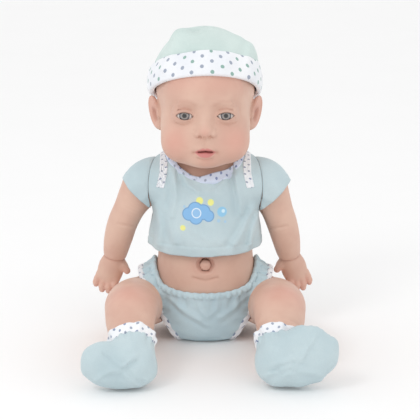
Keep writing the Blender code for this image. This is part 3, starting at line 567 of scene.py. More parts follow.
def plain(name, colour, roughness, metallic=0.0, grain=600.0):
    """One colour with a little wear in it."""
    m = Paint(name)
    low = (*[c * 0.82 for c in colour[:3]], 1.0)
    return m.finish(
        Base_Color=m.mix(m.spread(m.noise(grain, 3.0), 0.35, 0.7), colour, low),
        Normal=m.bump(m.noise(grain * 4, 2.0), 0.00005, 0.3),
        Roughness=m.spread(m.noise(grain, 2.0), 0.3, 0.7, roughness - 0.06, roughness + 0.06),
        Metallic=metallic,
    )


def eye_material():
    """White, iris with ring and spokes, and pupil; u is the angle and v the distance from the pole."""
    m = Paint("doll_eye")
    at = m.node("SeparateXYZ", {0: m.node("UVMap", uv_map="cloth").outputs[0]})
    turn, away = at.outputs[0], at.outputs[1]
    spokes = m.noise(1.0, 3.0, m.node("CombineXYZ", {
        0: m.times(m.math("COSINE", turn), 9.0),
        1: m.times(m.math("SINE", turn), 9.0),
        2: m.times(away, 500.0),
    }).outputs[0])
    white = m.mix(m.spread(m.noise(350.0, 2.0), 0.4, 0.8, 0.0, 0.5), rgb(240, 234, 230), rgb(226, 208, 202))
    inner = m.mix(m.spread(spokes, 0.35, 0.65), rgb(120, 112, 108), rgb(176, 168, 160))
    iris = m.mix(m.spread(away, 0.0026, 0.0040), inner, rgb(116, 116, 122))
    iris = m.mix(m.spread(away, 0.0040, 0.0047), iris, rgb(48, 46, 52))
    iris = m.mix(m.spread(away, 0.0018, 0.0026, 1.0, 0.0), iris, rgb(70, 60, 58))
    colour = m.mix(m.spread(away, 0.0050, 0.0054), iris, white)
    colour = m.mix(m.spread(away, 0.0015, 0.0018, 1.0, 0.0), colour, rgb(12, 10, 12))
    return m.finish(Base_Color=colour, Roughness=0.22, Coat_Weight=1.0, Coat_Roughness=0.03, Specular_IOR_Level=0.5)


MINT = rgb(213, 228, 224)
MINT_LOW = rgb(198, 216, 212)
BLUE = rgb(198, 214, 218)
BLUE_LOW = rgb(182, 201, 207)
DEEP_BLUE = rgb(203, 224, 231)
WHITE = rgb(246, 247, 249)
WHITE_LOW = rgb(232, 235, 241)
LILAC = rgb(204, 214, 234)
GREY_DOT = rgb(150, 160, 178)
GREEN_DOT = rgb(132, 172, 160)


def chest_print(m, base):
    """A plain motif: a cloud with a light outline, yellow spots and a small blue disc."""
    at = m.node("SeparateXYZ", {0: m.place()})
    flat = m.node("CombineXYZ", {0: at.outputs[0], 1: 0.0, 2: at.outputs[2]}).outputs[0]
    front = m.math("LESS_THAN", at.outputs[1], 0.0)

    def disc(x, z, radius):
        away = m.node("VectorMath", {0: flat, 1: (x, 0.0, z)}, operation="DISTANCE").outputs["Value"]
        return m.spread(away, radius - 0.0004, radius + 0.0004, 1.0, 0.0)

    def either(spots, more=0.0):
        masks = [disc(x, z, r + more) for x, z, r in spots]
        total = masks[0]
        for other in masks[1:]:
            total = m.math("MAXIMUM", total, other)
        return m.times(total, front)

    blue = rgb(142, 190, 232)
    yellow = ((-0.0055, 0.1447, 0.0034), (0.0052, 0.1432, 0.0030), (-0.0215, 0.1195, 0.0026))
    small = ((0.0128, 0.1265, 0.0016), (0.0190, 0.1255, 0.0012), (-0.0200, 0.1390, 0.0012))
    cloud = ((-0.0160, 0.1325, 0.0052), (-0.0095, 0.1362, 0.0066), (-0.0020, 0.1345, 0.0062),
             (0.0032, 0.1310, 0.0045), (-0.0090, 0.1300, 0.0060))
    for spots, more, ink in (
        (yellow, 0.0, rgb(240, 238, 140)),
        (cloud, 0.0009, rgb(108, 156, 205)),
        (cloud, 0.0, blue),
        (((-0.0085, 0.1335, 0.0046),), 0.0, rgb(240, 247, 252)),
        (((-0.0085, 0.1335, 0.0038),), 0.0, blue),
        (((0.0160, 0.1345, 0.0046),), 0.0, rgb(146, 200, 232)),
        (((0.0172, 0.1352, 0.0016),), 0.0, rgb(214, 236, 246)),
        (small, 0.0, rgb(168, 202, 226)),
    ):
        base = m.mix(m.times(either(spots, more), 0.92), base, ink)
    return base


SKIN = vinyl("doll_vinyl")
HAT = fabric("mint_knit", MINT, MINT_LOW)
SHIRT = fabric("shirt_jersey", BLUE, BLUE_LOW, chest_print)
COTTON = fabric("blue_jersey", BLUE, BLUE_LOW)
BRIEFS = fabric("briefs_jersey", DEEP_BLUE, rgb(186, 209, 218))
HAT_DOTS = fabric("hat_dots", WHITE, WHITE_LOW, dots(HAT_PITCH, 0.0052, 0.0018, GREY_DOT, GREEN_DOT))
TRIM_DOTS = fabric("trim_dots", WHITE, WHITE_LOW, dots(TRIM_PITCH, 0.0040, 0.0012, GREY_DOT, rgb(132, 146, 176)))
COLLAR_DOTS = fabric(
    "collar_dots", rgb(216, 224, 240), LILAC, dots(COLLAR_PITCH, 0.0030, 0.0010, GREY_DOT, rgb(120, 134, 176))
)
EYE = eye_material()

# ---------------------------------------------------------------- torso

# A joint is a point on its axis and the axis, which points outwards. A bore is a start along the axis, a radius and a
# length: one for the plug's stem and one for its flange or head.
SHOULDER = {n: ((s * 0.049, 0.003, 0.1535), (s * 0.965926, 0.258819, 0.0)) for n, s in SIDES.items()}
HIP = {n: ((s * 0.0505, 0.003, 0.036), (s * 0.866025, 0.0, -0.5)) for n, s in SIDES.items()}
NECK = ((0.0, 0.008, 0.0), (0.0, 0.0, 1.0))
TORSO_BORES = {
    "shoulder": ((-0.03, 0.0083, 0.040), (-0.018, 0.0130, 0.0145)),
    "hip": ((-0.03, 0.0113, 0.040), (-0.018, 0.0170, 0.0145)),
    "neck": ((0.16, 0.0108, 0.03), (0.164, 0.0165, 0.013)),
}
LIMB_BORES = {
    "shoulder": ((-0.01, 0.0083, 0.016), (0.0036, 0.0123, 0.0023)),
    "hip": ((-0.01, 0.0113, 0.016), (0.0036, 0.0163, 0.0023)),
    "neck": ((0.150, 0.0108, 0.036), (0.1853, 0.0156, 0.0055)),
}
NAVEL = (0.0, -0.049, 0.083)
DOOR_Z = 0.1265
# Rows of a trunk: height, half width, and depth ahead of and behind the middle.
TORSO = np.array((
    (-0.004, 0.0300, 0.0250, 0.0290), (0.0032, 0.0380, 0.0320, 0.0360), (0.0100, 0.0450, 0.0380, 0.0410),
    (0.0250, 0.0515, 0.0440, 0.0470), (0.0450, 0.0525, 0.0460, 0.0480), (0.0650, 0.0490, 0.0475, 0.0450),
    (0.0850, 0.0465, 0.0465, 0.0420), (0.1050, 0.0460, 0.0425, 0.0420), (0.1250, 0.0470, 0.0380, 0.0440),
    (0.1430, 0.0470, 0.0340, 0.0450), (0.1570, 0.0440, 0.0290, 0.0430), (0.1680, 0.0380, 0.0230, 0.0380),
    (0.1760, 0.0300, 0.0175, 0.0325), (0.1805, 0.0220, 0.0140, 0.0300), (0.1850, 0.0130, 0.0080, 0.0220),
))
SHIRT_FORM = np.array((
    (0.0900, 0.0548, 0.0540, 0.0510), (0.1000, 0.0545, 0.0530, 0.0510), (0.1100, 0.0540, 0.0510, 0.0510),
    (0.1250, 0.0520, 0.0460, 0.0500), (0.1400, 0.0500, 0.0405, 0.0490), (0.1530, 0.0485, 0.0350, 0.0480),
    (0.1640, 0.0435, 0.0290, 0.0440), (0.1730, 0.0370, 0.0245, 0.0390), (0.1800, 0.0290, 0.0200, 0.0340),
    (0.1860, 0.0200, 0.0140, 0.0260),
))


def rows_of(sections):
    """The sections made dense, in order of height."""
    dense = smooth_rows(sections, 8)
    return dense[np.argsort(dense[:, 0])]


TORSO_ROWS, SHIRT_ROWS = rows_of(TORSO), rows_of(SHIRT_FORM)


def trunk(p, rows, grow=0.0, power=2.25):
    """Distance from a stack of superellipses, corrected for the slope of its sides."""

    def gap(z):
        half, ahead, behind = (np.interp(z, rows[:, 0], rows[:, k]) for k in (1, 2, 3))
        half = half + grow
        deep = np.where(p[:, 1] < 0, ahead, behind) + grow
        rho = ((np.abs(p[:, 0]) / half) ** power + (np.abs(p[:, 1]) / deep) ** power) ** (1 / power)
        away = np.hypot(p[:, 0], p[:, 1])
        return away - away / np.maximum(rho, 1e-4)

    d = gap(p[:, 2])
    lean = (gap(p[:, 2] + 0.0015) - gap(p[:, 2] - 0.0015)) / 0.003
    return d / np.sqrt(1 + np.minimum(lean * lean, 16.0))


def torso_outer(p, grow=0.0):
    """The closed torso with rounded shoulders and hips."""
    d = trunk(p, TORSO_ROWS, grow)
    d = keep(d, p[:, 2] - 0.1805 - grow, 0.003)
    d = keep(d, 0.0032 - grow - p[:, 2], 0.004)
    for side in SIDES:
        point, axis = SHOULDER[side]
        d = join(d, rod(p, np.array(point) - 0.02 * unit(axis), axis, 0.0215 + grow, 0.020), 0.006)
        point, axis = HIP[side]
        d = join(d, rod(p, np.array(point) - 0.022 * unit(axis), axis, 0.0295 + grow, 0.022), 0.006)
    return d


def torso_skin(p):
    """The torso with the dish round the navel and the crease under it."""
    d = torso_outer(p)
    across = np.hypot(p[:, 0], p[:, 2] - NAVEL[2])
    front = step_between(-p[:, 1], 0.020, 0.035)
    d = d + 0.0020 * step_between(across, 0.0100, 0.0062) * front
    d = d - 0.0006 * np.exp(-(((across - 0.0098) / 0.0016) ** 2)) * front
    smile = [(-0.0120, 0, 0.0705), (-0.0060, 0, 0.0688), (0.0, 0, 0.0682), (0.0060, 0, 0.0688), (0.0120, 0, 0.0705)]
    return d + 0.0009 * ridge(p * [1, 0, 1], smile, 0.0011) * front


def torso_half(front):
    """One torso shell: hollow, split in the middle, with its bores, button hole, door opening and switch slot."""

    def field(p):
        d = torso_skin(p)
        d = np.maximum(d, -(trunk(p, TORSO_ROWS, -0.0032)))
        split = (p[:, 1] - 0.00285) if front else (0.00315 - p[:, 1])
        d = np.maximum(d, split)
        for side in SIDES:
            at_shoulder = np.abs(p[:, 2] - 0.1535) < 0.035
            d = np.maximum(d, np.where(at_shoulder, plane(p, *SHOULDER[side]), -1.0))
            d = bored(d, p, SHOULDER[side], TORSO_BORES["shoulder"])
            at_hip = p[:, 2] < 0.066
            d = np.maximum(d, np.where(at_hip, plane(p, *HIP[side]), -1.0))
            d = bored(d, p, HIP[side], TORSO_BORES["hip"])
        d = bored(d, p, NECK, TORSO_BORES["neck"])
        if front:
            d = np.maximum(d, -rod(p, (0, -0.060, 0.083), (0, 1, 0), 0.0052, 0.030))
        else:
            hole = np.maximum(np.abs(p[:, 0]) - 0.0233, np.abs(p[:, 2] - DOOR_Z) - 0.0263)
            d = np.maximum(d, -np.maximum(hole, 0.03 - p[:, 1]))
            slot = np.maximum(np.abs(p[:, 0]) - 0.0051, np.abs(p[:, 2] - 0.0915) - 0.0022)
            d = np.maximum(d, -np.maximum(slot, 0.03 - p[:, 1]))
        return d

    return field


def skin_paint(obj, blush=0.0, shade=0.0, lip=0.0, line=0.0):
    """Stores the tints that the vinyl material reads, each from 0 to 1 at the points."""
    count = len(obj.data.vertices)
    for name, values in (("blush", blush), ("shade", shade), ("lip", lip), ("line", line)):
        paint(obj, name, np.clip(values, 0, 1) * np.ones(count))


def make_torso():
    for half, low_y, high_y in (("front", -0.054, 0.006), ("back", 0.0, 0.054)):
        field = torso_half(half == "front")
        points, quads = polygonise(field, (-0.062, low_y, 0.0), (0.062, high_y, 0.184), 0.00125)
        obj = to_object(f"torso_{half}_skin", points, quads, SKIN)
        across = np.hypot(points[:, 0], points[:, 2] - NAVEL[2])
        at_front = points[:, 1] < -0.03
        smile = ridge(points * [1, 0, 1], [(-0.012, 0, 0.0705), (0, 0, 0.0682), (0.012, 0, 0.0705)], 0.0013)
        shade = 0.25 * np.exp(-(((across - 0.0062) / 0.0016) ** 2)) + 0.45 * smile
        skin_paint(obj, blush=0.35 * np.exp(-((across / 0.016) ** 2)) * at_front, shade=at_front * shade)
        settle(obj, "torso", "skin_vinyl", f"torso_{half}_shell")

    def door(p):
        d = np.maximum(torso_outer(p), -trunk(p, TORSO_ROWS, -0.003))
        screw_hole = rod(p, (0, 0.030, 0.1060), (0, 1, 0), 0.0018, 0.03)
        sides = np.maximum(np.abs(p[:, 0]) - 0.0228, np.abs(p[:, 2] - DOOR_Z) - 0.0258)
        return np.max([d, sides, 0.03 - p[:, 1], -screw_hole], axis=0)

    points, quads = polygonise(door, (-0.026, 0.03, 0.098), (0.026, 0.052, 0.155), 0.001)
    obj = to_object("battery_door", points, quads, SKIN)
    skin_paint(obj)
    settle(obj, "torso", "skin_vinyl", "battery_cover")

    def button(p):
        q = p - np.array(NAVEL)
        across = np.hypot(q[:, 0], q[:, 2])
        knob = ellipsoid(p, (0, -0.0468, 0.083), (0.0052, 0.0030, 0.0052))
        knob = join(knob, ellipsoid(p, (0.0004, -0.0490, 0.0834), (0.0030, 0.0012, 0.0026)), 0.001)
        stem = np.maximum(across - 0.0049, np.maximum(-0.0470 - p[:, 1], p[:, 1] + 0.0415))
        flange = np.maximum(across - 0.0069, np.maximum(-0.0414 - p[:, 1], p[:, 1] + 0.0401))
        pin = np.maximum(across - 0.0023, np.maximum(-0.0410 - p[:, 1], p[:, 1] + 0.0254))
        d = join(knob, stem, 0.0006)
        d = np.minimum(np.minimum(d, flange), pin)
        fold = ridge(p * [1, 0, 1], [(-0.0022, 0, 0.0822), (0.0, 0, 0.0814), (0.0022, 0, 0.0822)], 0.0006)
        return d + 0.0004 * fold * (p[:, 1] < -0.047)

    points, quads = polygonise(button, (-0.0075, -0.0515, 0.0755), (0.0075, -0.0245, 0.0905), 0.0004)
    obj = to_object("navel_push_button", points, quads, SKIN)
    across = np.hypot(points[:, 0], points[:, 2] - NAVEL[2])
    skin_paint(obj, blush=0.3 * np.ones(len(points)), shade=0.3 * step_between(across, 0.0040, 0.0052))
    settle(obj, "navel_button", "skin_vinyl", "navel_button")


# ---------------------------------------------------------------- head and eyes

EYE_AT = {n: np.array((s * 0.0195, -0.0375, 0.2285)) for n, s in SIDES.items()}
EYE_RADIUS = 0.0105


def mirrored(p):
    q = p.copy()
    q[:, 0] = np.abs(q[:, 0])
    return q


def lid_curves(q):
    """Heights of the two lids' edges; q is measured from the eye's centre, outer side +x."""
    x = q[:, 0]
    upper = 0.0036 - 0.0037 * ((x - 0.0002) / 0.0086) ** 2 * (1 + 8.0 * x) + 0.02 * x
    lower = -0.0034 + 0.0036 * ((x + 0.0004) / 0.0088) ** 2 + 0.02 * x
    return upper, lower


def head_base(p, grow=0.0):
    """Skull, face, cheeks and jaw; p is mirrored to +x."""
    d = ellipsoid(p, (0, 0.011, 0.248), np.array((0.0480, 0.0560, 0.0490)) + grow)
    d = join(d, ellipsoid(p, (0, -0.010, 0.214), np.array((0.0432, 0.0418, 0.0385)) + grow), 0.008)
    d = join(d, ellipsoid(p, (0, 0.009, 0.207), np.array((0.0270, 0.0270, 0.0400)) + grow), 0.006)
    return d


EAR_AT = np.array((0.0455, 0.0020, 0.2240))
EAR_OUT = unit((math.cos(math.radians(30)), -math.sin(math.radians(30)), -0.12))
EAR_UP = unit(np.cross(EAR_OUT, (math.sin(math.radians(30)), math.cos(math.radians(30)), -0.20)))
EAR_BACK = unit(np.cross(EAR_UP, EAR_OUT))


def ear(p):
    """Ear plate, rim, hollow and lobe; p is mirrored to +x."""
    q = p - EAR_AT
    q = np.stack([q @ EAR_OUT, q @ EAR_BACK, q @ EAR_UP], 1)
    d = ellipsoid(q, (0.0, 0.0060, 0.0), (0.0030, 0.0088, 0.0150))
    d = join(d, ellipsoid(q, (-0.0002, 0.0035, -0.0140), (0.0026, 0.0046, 0.0046)), 0.003)
    rho = np.hypot((q[:, 1] - 0.0060) / 0.0080, q[:, 2] / 0.0140)
    rim = np.hypot((rho - 1) * 0.0100, q[:, 0] - 0.0012) - 0.0017
    front_gap = step_between(-q[:, 1] - q[:, 2] * 0.2, -0.0015, 0.0015)
    d = join(d, rim + 0.0016 * front_gap, 0.0014)
    inner = np.hypot((q[:, 1] - 0.0062) / 0.0046, (q[:, 2] - 0.0010) / 0.0092)
    inner = np.hypot((inner - 1) * 0.0060, q[:, 0] - 0.0014) - 0.0009
    d = join(d, inner + 0.002 * front_gap, 0.0012)
    d = carve(d, ellipsoid(q, (0.0034, 0.0046, -0.0025), (0.0034, 0.0038, 0.0066)), 0.0016)
    return join(d, ellipsoid(q, (0.0008, -0.0020, -0.0030), (0.0026, 0.0022, 0.0032)), 0.002)


LID_CREASE = (
    (0.0110, 0, 0.2325), (0.0145, 0, 0.2350), (0.0195, 0, 0.2360), (0.0245, 0, 0.2350), (0.0280, 0, 0.2325),
)
UNDER_EYE = ((0.0110, 0, 0.2225), (0.0160, 0, 0.2200), (0.0215, 0, 0.2194), (0.0270, 0, 0.2210))


def mouth_line(x):
    """Height of the line between the lips."""
    return 0.1948 + 0.0006 * np.cos(x / 0.0035) * np.exp(-((x / 0.006) ** 2)) - 4.5 * x * x


def head_field(p):
    p = mirrored(p)
    d = head_base(p)
    d = join(d, ellipsoid(p, (0.0215, -0.0270, 0.1985), (0.0200, 0.0200, 0.0185)), 0.010)
    d = join(d, ellipsoid(p, (0.0, -0.0190, 0.2480), (0.0350, 0.0310, 0.0270)), 0.012)
    d = join(d, ellipsoid(p, (0.0, -0.0385, 0.1965), (0.0170, 0.0115, 0.0130)), 0.008)
    d = join(d, ellipsoid(p, (0.0, -0.0340, 0.1850), (0.0165, 0.0115, 0.0085)), 0.009)
    d = join(d, ellipsoid(p, (0.0140, -0.0455, 0.2415), (0.0130, 0.0035, 0.0040), 12), 0.006)
    # eye sockets and lids
    q = p - EYE_AT["left"]
    around = np.hypot(q[:, 0] * 0.9, q[:, 2])
    d = d + 0.0016 * np.exp(-((around / 0.013) ** 4)) * (p[:, 1] < -0.02)
    lids = length(q * [0.97, 1, 1]) - (EYE_RADIUS + 0.0018)
    d = join(d, lids, 0.0026)
    flat = p * [1, 0, 1]
    facing = p[:, 1] < -0.030
    crease = ridge(flat, LID_CREASE, 0.0010)
    bag = ridge(flat, UNDER_EYE, 0.0014)
    d = d + (0.0005 * crease + 0.0005 * bag) * facing
    upper, lower = lid_curves(q)
    opening = np.maximum(q[:, 2] - upper, lower - q[:, 2])
    opening = np.maximum(opening, length(q) - (EYE_RADIUS + 0.004))
    opening = np.maximum(opening, q[:, 1] + 0.002)
    d = carve(d, opening, 0.0007)
    d = np.maximum(d, -(length(q) - (EYE_RADIUS + 0.0002)))
    # nose
    d = join(d, cone(p, (0, -0.0455, 0.2300), (0, -0.0508, 0.2185), 0.0040, 0.0052), 0.007)
    d = join(d, ellipsoid(p, (0, -0.0522, 0.2150), (0.0060, 0.0062, 0.0053)), 0.004)
    d = join(d, ellipsoid(p, (0.0070, -0.0496, 0.2126), (0.0038, 0.0046, 0.0037)), 0.0020)
    d = carve(d, ellipsoid(p, (0.0042, -0.0530, 0.2094), (0.0019, 0.0026, 0.0022)), 0.0010)
    wing = ridge(p, [(0.0098, -0.0490, 0.2165), (0.0118, -0.0470, 0.2130), (0.0108, -0.0480, 0.2092)], 0.0012)
    d = d + 0.0007 * wing
    # lips
    d = join(d, ellipsoid(p, (0.0040, -0.0490, 0.1976), (0.0060, 0.0034, 0.0027), -14), 0.0016)
    d = join(d, ellipsoid(p, (0.0, -0.0502, 0.1972), (0.0026, 0.0028, 0.0021)), 0.0014)
    d = join(d, ellipsoid(p, (0.0, -0.0486, 0.1909), (0.0070, 0.0040, 0.0032)), 0.0018)
    philtrum = ridge(p, [(0, -0.0510, 0.2065), (0, -0.0500, 0.2010)], 0.0016)
    d = d + 0.0008 * philtrum
    beyond = np.maximum(np.abs(p[:, 0]) - 0.0042, 0)
    slot = np.hypot((p[:, 2] - mouth_line(p[:, 0])) / 0.0011, beyond / 0.0030) - 1
    slot = np.maximum(slot * 0.0010, np.abs(p[:, 1] + 0.0500) - 0.0034)
    d = carve(d, slot, 0.0009)
    d = d + 0.0009 * spot(p, (0.0105, -0.0480, 0.1938), 0.0020)
    under = ridge(p, [(-0.006, -0.0475, 0.1872), (0.006, -0.0475, 0.1872)], 0.0022)
    d = d + 0.0008 * under
    d = join(d, ear(p), 0.0024)
    # underside and the pocket for the neck's plug
    d = carve(d, rod(p, (0, 0.008, 0.150), (0, 0, 1), 0.0300, 0.032), 0.0012)
    return bored(d, p, NECK, LIMB_BORES["neck"])


def make_head():
    points, quads = polygonise(head_field, (-0.058, -0.062, 0.174), (0.058, 0.072, 0.300), 0.0008, relax=1)
    obj = to_object("head_skin", points, quads, SKIN)
    p = mirrored(points)
    q = p - EYE_AT["left"]
    upper, lower = lid_curves(q)
    front = p[:, 1] < -0.03
    blush = 0.75 * spot(p, (0.0265, -0.0400, 0.2030), 0.0140) + 0.45 * spot(p, (0, -0.058, 0.2140), 0.006)
    blush += 0.35 * spot(p, (0, -0.046, 0.185), 0.009) + 0.4 * step_between(p[:, 0], 0.045, 0.049)
    blush += 0.3 * step_between(p[:, 2], 0.240, 0.262) * front
    socket = np.exp(-((np.hypot(q[:, 0] * 0.8, (q[:, 2] - 0.001) * 1.1) / 0.0105) ** 2)) * front
    brow = ridge(p, [(0.0095, -0.050, 0.2400), (0.0170, -0.050, 0.2432), (0.0270, -0.044, 0.2415)], 0.0022)
    wing = [(0.0100, -0.0490, 0.2160), (0.0116, -0.0470, 0.2128), (0.0100, -0.0490, 0.2094), (0.0042, -0.0540, 0.2090)]
    wings = ridge(p, wing, 0.0010)
    corner = spot(p, (0.0108, -0.0480, 0.1938), 0.0022)
    lid = [(0.0135, 0, 0.2346), (0.0195, 0, 0.2360), (0.0255, 0, 0.2346)]
    creases = ridge(p * [1, 0, 1], lid, 0.0010) * front
    shade = 0.34 * socket + 0.26 * brow + 0.6 * wings + 0.5 * corner + 0.45 * creases
    at_ear = p - EAR_AT
    hollow = np.hypot((at_ear @ EAR_BACK - 0.0046) / 0.0042, (at_ear @ EAR_UP + 0.0020) / 0.0078)
    shade += 0.75 * np.exp(-(hollow ** 4)) * (at_ear @ EAR_OUT > -0.0010)
    at_root = at_ear @ np.stack([EAR_OUT, EAR_BACK * 2.2, EAR_UP * 0.45], 1)
    shade += 0.40 * bell(length(at_root), 0.0050)
    rim = np.abs(q[:, 2] - upper)
    at_lid = front * (np.abs(q[:, 0] - 0.0002) < 0.0072) * (length(q) < EYE_RADIUS + 0.0025)
    line = 0.80 * np.exp(-((rim / 0.0008) ** 2)) * at_lid
    line += 0.22 * np.exp(-((np.abs(q[:, 2] - lower) / 0.0006) ** 2)) * at_lid
    height = p[:, 2] - mouth_line(p[:, 0])
    top = 0.0036 - 0.0009 * np.exp(-((p[:, 0] / 0.0016) ** 2)) - 34.0 * p[:, 0] ** 2
    bottom = -0.0056 + 58.0 * p[:, 0] ** 2
    lip = step_between(height, top + 0.0007, top - 0.0005)
    lip *= step_between(height, bottom - 0.0008, bottom + 0.0006)
    lip *= (p[:, 0] < 0.0105) * (p[:, 1] < -0.042)
    inner = np.exp(-((height / 0.0008) ** 2)) * (p[:, 0] < 0.0088) * (p[:, 1] < -0.042) * (p[:, 1] > -0.0500)
    skin_paint(obj, blush=blush, shade=shade, lip=0.95 * lip, line=line + 0.30 * inner * lip)
    settle(obj, "head", "skin_vinyl", "head")
    for side in SIDES:
        make_eye(side)


def make_eye(side):
    """An eyeball with a slightly raised cornea over the iris, as rings round the axis on which it looks."""
    rings, around = 48, 64
    aim = unit((0.0, -1.0, 0.05))
    right = unit(np.cross(aim, (0, 0, 1)))
    up = np.cross(right, aim)
    polar = np.concatenate([np.linspace(0, 0.62, 30)[1:], np.linspace(0.62, math.pi, 20)[1:-1]])
    turn = np.arange(around) * 2 * math.pi / around
    points, u, v = [EYE_AT[side] + aim * (EYE_RADIUS + 0.0004)], [0.0], [0.0]
    for a in polar:
        radius = EYE_RADIUS - 0.0001 + 0.0005 * math.exp(-((a / 0.42) ** 4))
        for t in turn:
            way = math.cos(a) * aim + math.sin(a) * (math.cos(t) * right + math.sin(t) * up)
            points.append(EYE_AT[side] + radius * way)
            u.append(t)
            v.append(a * EYE_RADIUS)
    points.append(EYE_AT[side] - aim * EYE_RADIUS)
    u.append(0.0)
    v.append(math.pi * EYE_RADIUS)
    faces = []
    for k in range(around):
        j = (k + 1) % around
        faces.append((0, 1 + j, 1 + k))
        for r in range(len(polar) - 1):
            a, b = 1 + r * around, 1 + (r + 1) * around
            faces.append((a + k, a + j, b + j, b + k))
        last = 1 + (len(polar) - 1) * around
        faces.append((last + k, last + j, len(points) - 1))
    mesh = bpy.data.meshes.new(f"{side}_eyeball")
    mesh.from_pydata([tuple(x) for x in points], [], faces)
    mesh.shade_smooth()
    mesh.materials.append(EYE)
    obj = bpy.data.objects.new(f"{side}_eyeball", mesh)
    bpy.context.scene.collection.objects.link(obj)
    lay_out(obj, np.array(u), np.array(v), 2 * math.pi)
    settle(obj, "head", "eye_acrylic", f"{side}_eye")


# ---------------------------------------------------------------- arms and legs

ARM = {
    "right": (
        (0.0440, 0.0030, 0.1550, 0.0180, 0.0180), (0.0580, 0.0030, 0.1520, 0.0212, 0.0203),
        (0.0665, 0.0030, 0.1420, 0.0182, 0.0177), (0.0745, 0.0030, 0.1280, 0.0154, 0.0152),
        (0.0815, 0.0040, 0.1130, 0.0148, 0.0145), (0.0860, 0.0065, 0.0980, 0.0142, 0.0135),
        (0.0890, 0.0100, 0.0850, 0.0127, 0.0119), (0.0908, 0.0125, 0.0750, 0.0110, 0.0098),
        (0.0928, 0.0137, 0.0680, 0.0112, 0.0090),
    ),
    "left": (
        (0.0440, 0.0030, 0.1550, 0.0180, 0.0180), (0.0575, 0.0030, 0.1510, 0.0212, 0.0203),
        (0.0645, 0.0030, 0.1400, 0.0182, 0.0180), (0.0705, 0.0030, 0.1260, 0.0156, 0.0154),
        (0.0758, 0.0045, 0.1110, 0.0150, 0.0147), (0.0798, 0.0080, 0.0960, 0.0140, 0.0135),
        (0.0822, 0.0125, 0.0840, 0.0125, 0.0119), (0.0842, 0.0160, 0.0750, 0.0108, 0.0098),
        (0.0860, 0.0182, 0.0680, 0.0110, 0.0090),
    ),
}
PALM = {"right": (0.0955, 0.0147, 0.0600), "left": (0.0892, 0.0205, 0.0600)}
PALM_END = {"right": (0.0980, 0.0155, 0.0510), "left": (0.0925, 0.0215, 0.0510)}
FINGERS = (
    # across the palm, drop, reach forwards, radius
    (-0.0088, 0.0150, -0.0045, 0.0037), (-0.0031, 0.0185, -0.0028, 0.0038),
    (0.0028, 0.0178, -0.0008, 0.0037), (0.0084, 0.0130, 0.0014, 0.0033),
)


def finger_lines(side):
    """Each finger's root, two knuckles and end, with their radii."""
    tip = np.array(PALM_END[side])
    lines = []
    for across, drop, ahead, radius in FINGERS:
        root = tip + np.array((across, 0.0, 0.0045))
        end = root + np.array((0.0030 + across * 0.12, ahead, -drop + 0.002))
        knuckle = root + 0.38 * (end - root) + np.array((0.0006, -0.0010, 0.0))
        middle = root + 0.72 * (end - root) + np.array((0.0008, -0.0016, 0.0))
        stations = ((root, 0.0006), (knuckle, 0.0), (middle, -0.0003), (end, -0.0007))
        lines.append([(*at, radius + more) for at, more in stations])
    return lines


def thumb_line(side):
    palm = {"right": np.array((0.0935, 0.0140, 0.0660)), "left": np.array((0.0868, 0.0190, 0.0660))}[side]
    root = palm + np.array((-0.0062, -0.0006, 0.0025))
    end = palm + np.array((-0.0150, -0.0046, -0.0052))
    middle = 0.5 * (root + end) + np.array((-0.0006, -0.0006, 0.0010))
    return [(*root, 0.0054), (*middle, 0.0044), (*end, 0.0034)]


def arm_field(side):
    s = SIDES[side]
    rows = ARM[side]

    def field(p):
        p = p * [s, 1, 1]
        d = tube(p, rows, (0, 1, 0))
        palm = ellipsoid(p, PALM[side], (0.0128, 0.0088, 0.0140), -12)
        d = join(d, palm, 0.006)
        fist = None
        for line in finger_lines(side):
            one = chain(p, line, 0.0012)
            fist = one if fist is None else join(fist, one, 0.0006)
        d = join(d, fist, 0.0026)
        d = join(d, chain(p, thumb_line(side), 0.0015), 0.0030)
        for line in finger_lines(side):
            for k, reach in ((1, 0.0003), (2, 0.00028)):
                away = length(p - np.array(line[k][:3]))
                d = d - reach * np.exp(-(((away - 0.0) / 0.0040) ** 2))
        for line in [*finger_lines(side), thumb_line(side)]:
            end, before = np.array(line[-1][:3]), np.array(line[-2][:3])
            u = unit(end - before)
            back = unit(np.array((0.35, 0.93, 0.0)) - u * (u @ np.array((0.35, 0.93, 0.0))))
            nail = end - u * 0.0004 + back * line[-1][3] * 0.80
            d = join(d, ellipsoid(p, nail, (0.0018, 0.0011, 0.0022)), 0.0005)
        wrist = np.abs(plane(p, rows[7][:3], np.array(rows[8][:3]) - np.array(rows[6][:3])))
        d = d + 0.0012 * np.exp(-((wrist / 0.0011) ** 2)) * (length(p - np.array(rows[7][:3])) < 0.022)
        fold = ridge(p, [np.array(rows[4][:3]) + (-0.015, -0.004, -0.004), np.array(rows[4][:3]) + (-0.006, -0.014, -0.001),
                         np.array(rows[4][:3]) + (0.004, -0.0145, 0.001)], 0.0016)
        d = d + 0.0010 * fold
        for k in range(4):
            spot = np.array(finger_lines(side)[k][0][:3]) + np.array((0.0005, 0.0048, 0.003))
            d = d + 0.0005 * np.exp(-((length(p - spot) / 0.0018) ** 2))
        point, axis = SHOULDER["left"]
        d = np.maximum(d, -plane(p, np.array(point) + GAP * unit(axis), axis))
        d = np.maximum(d, -rod(p, np.array(point) - 0.01 * unit(axis), axis, 0.0083, 0.016))
        return np.maximum(d, -rod(p, np.array(point) + 0.0036 * unit(axis), axis, 0.0123, 0.0023))

    return field


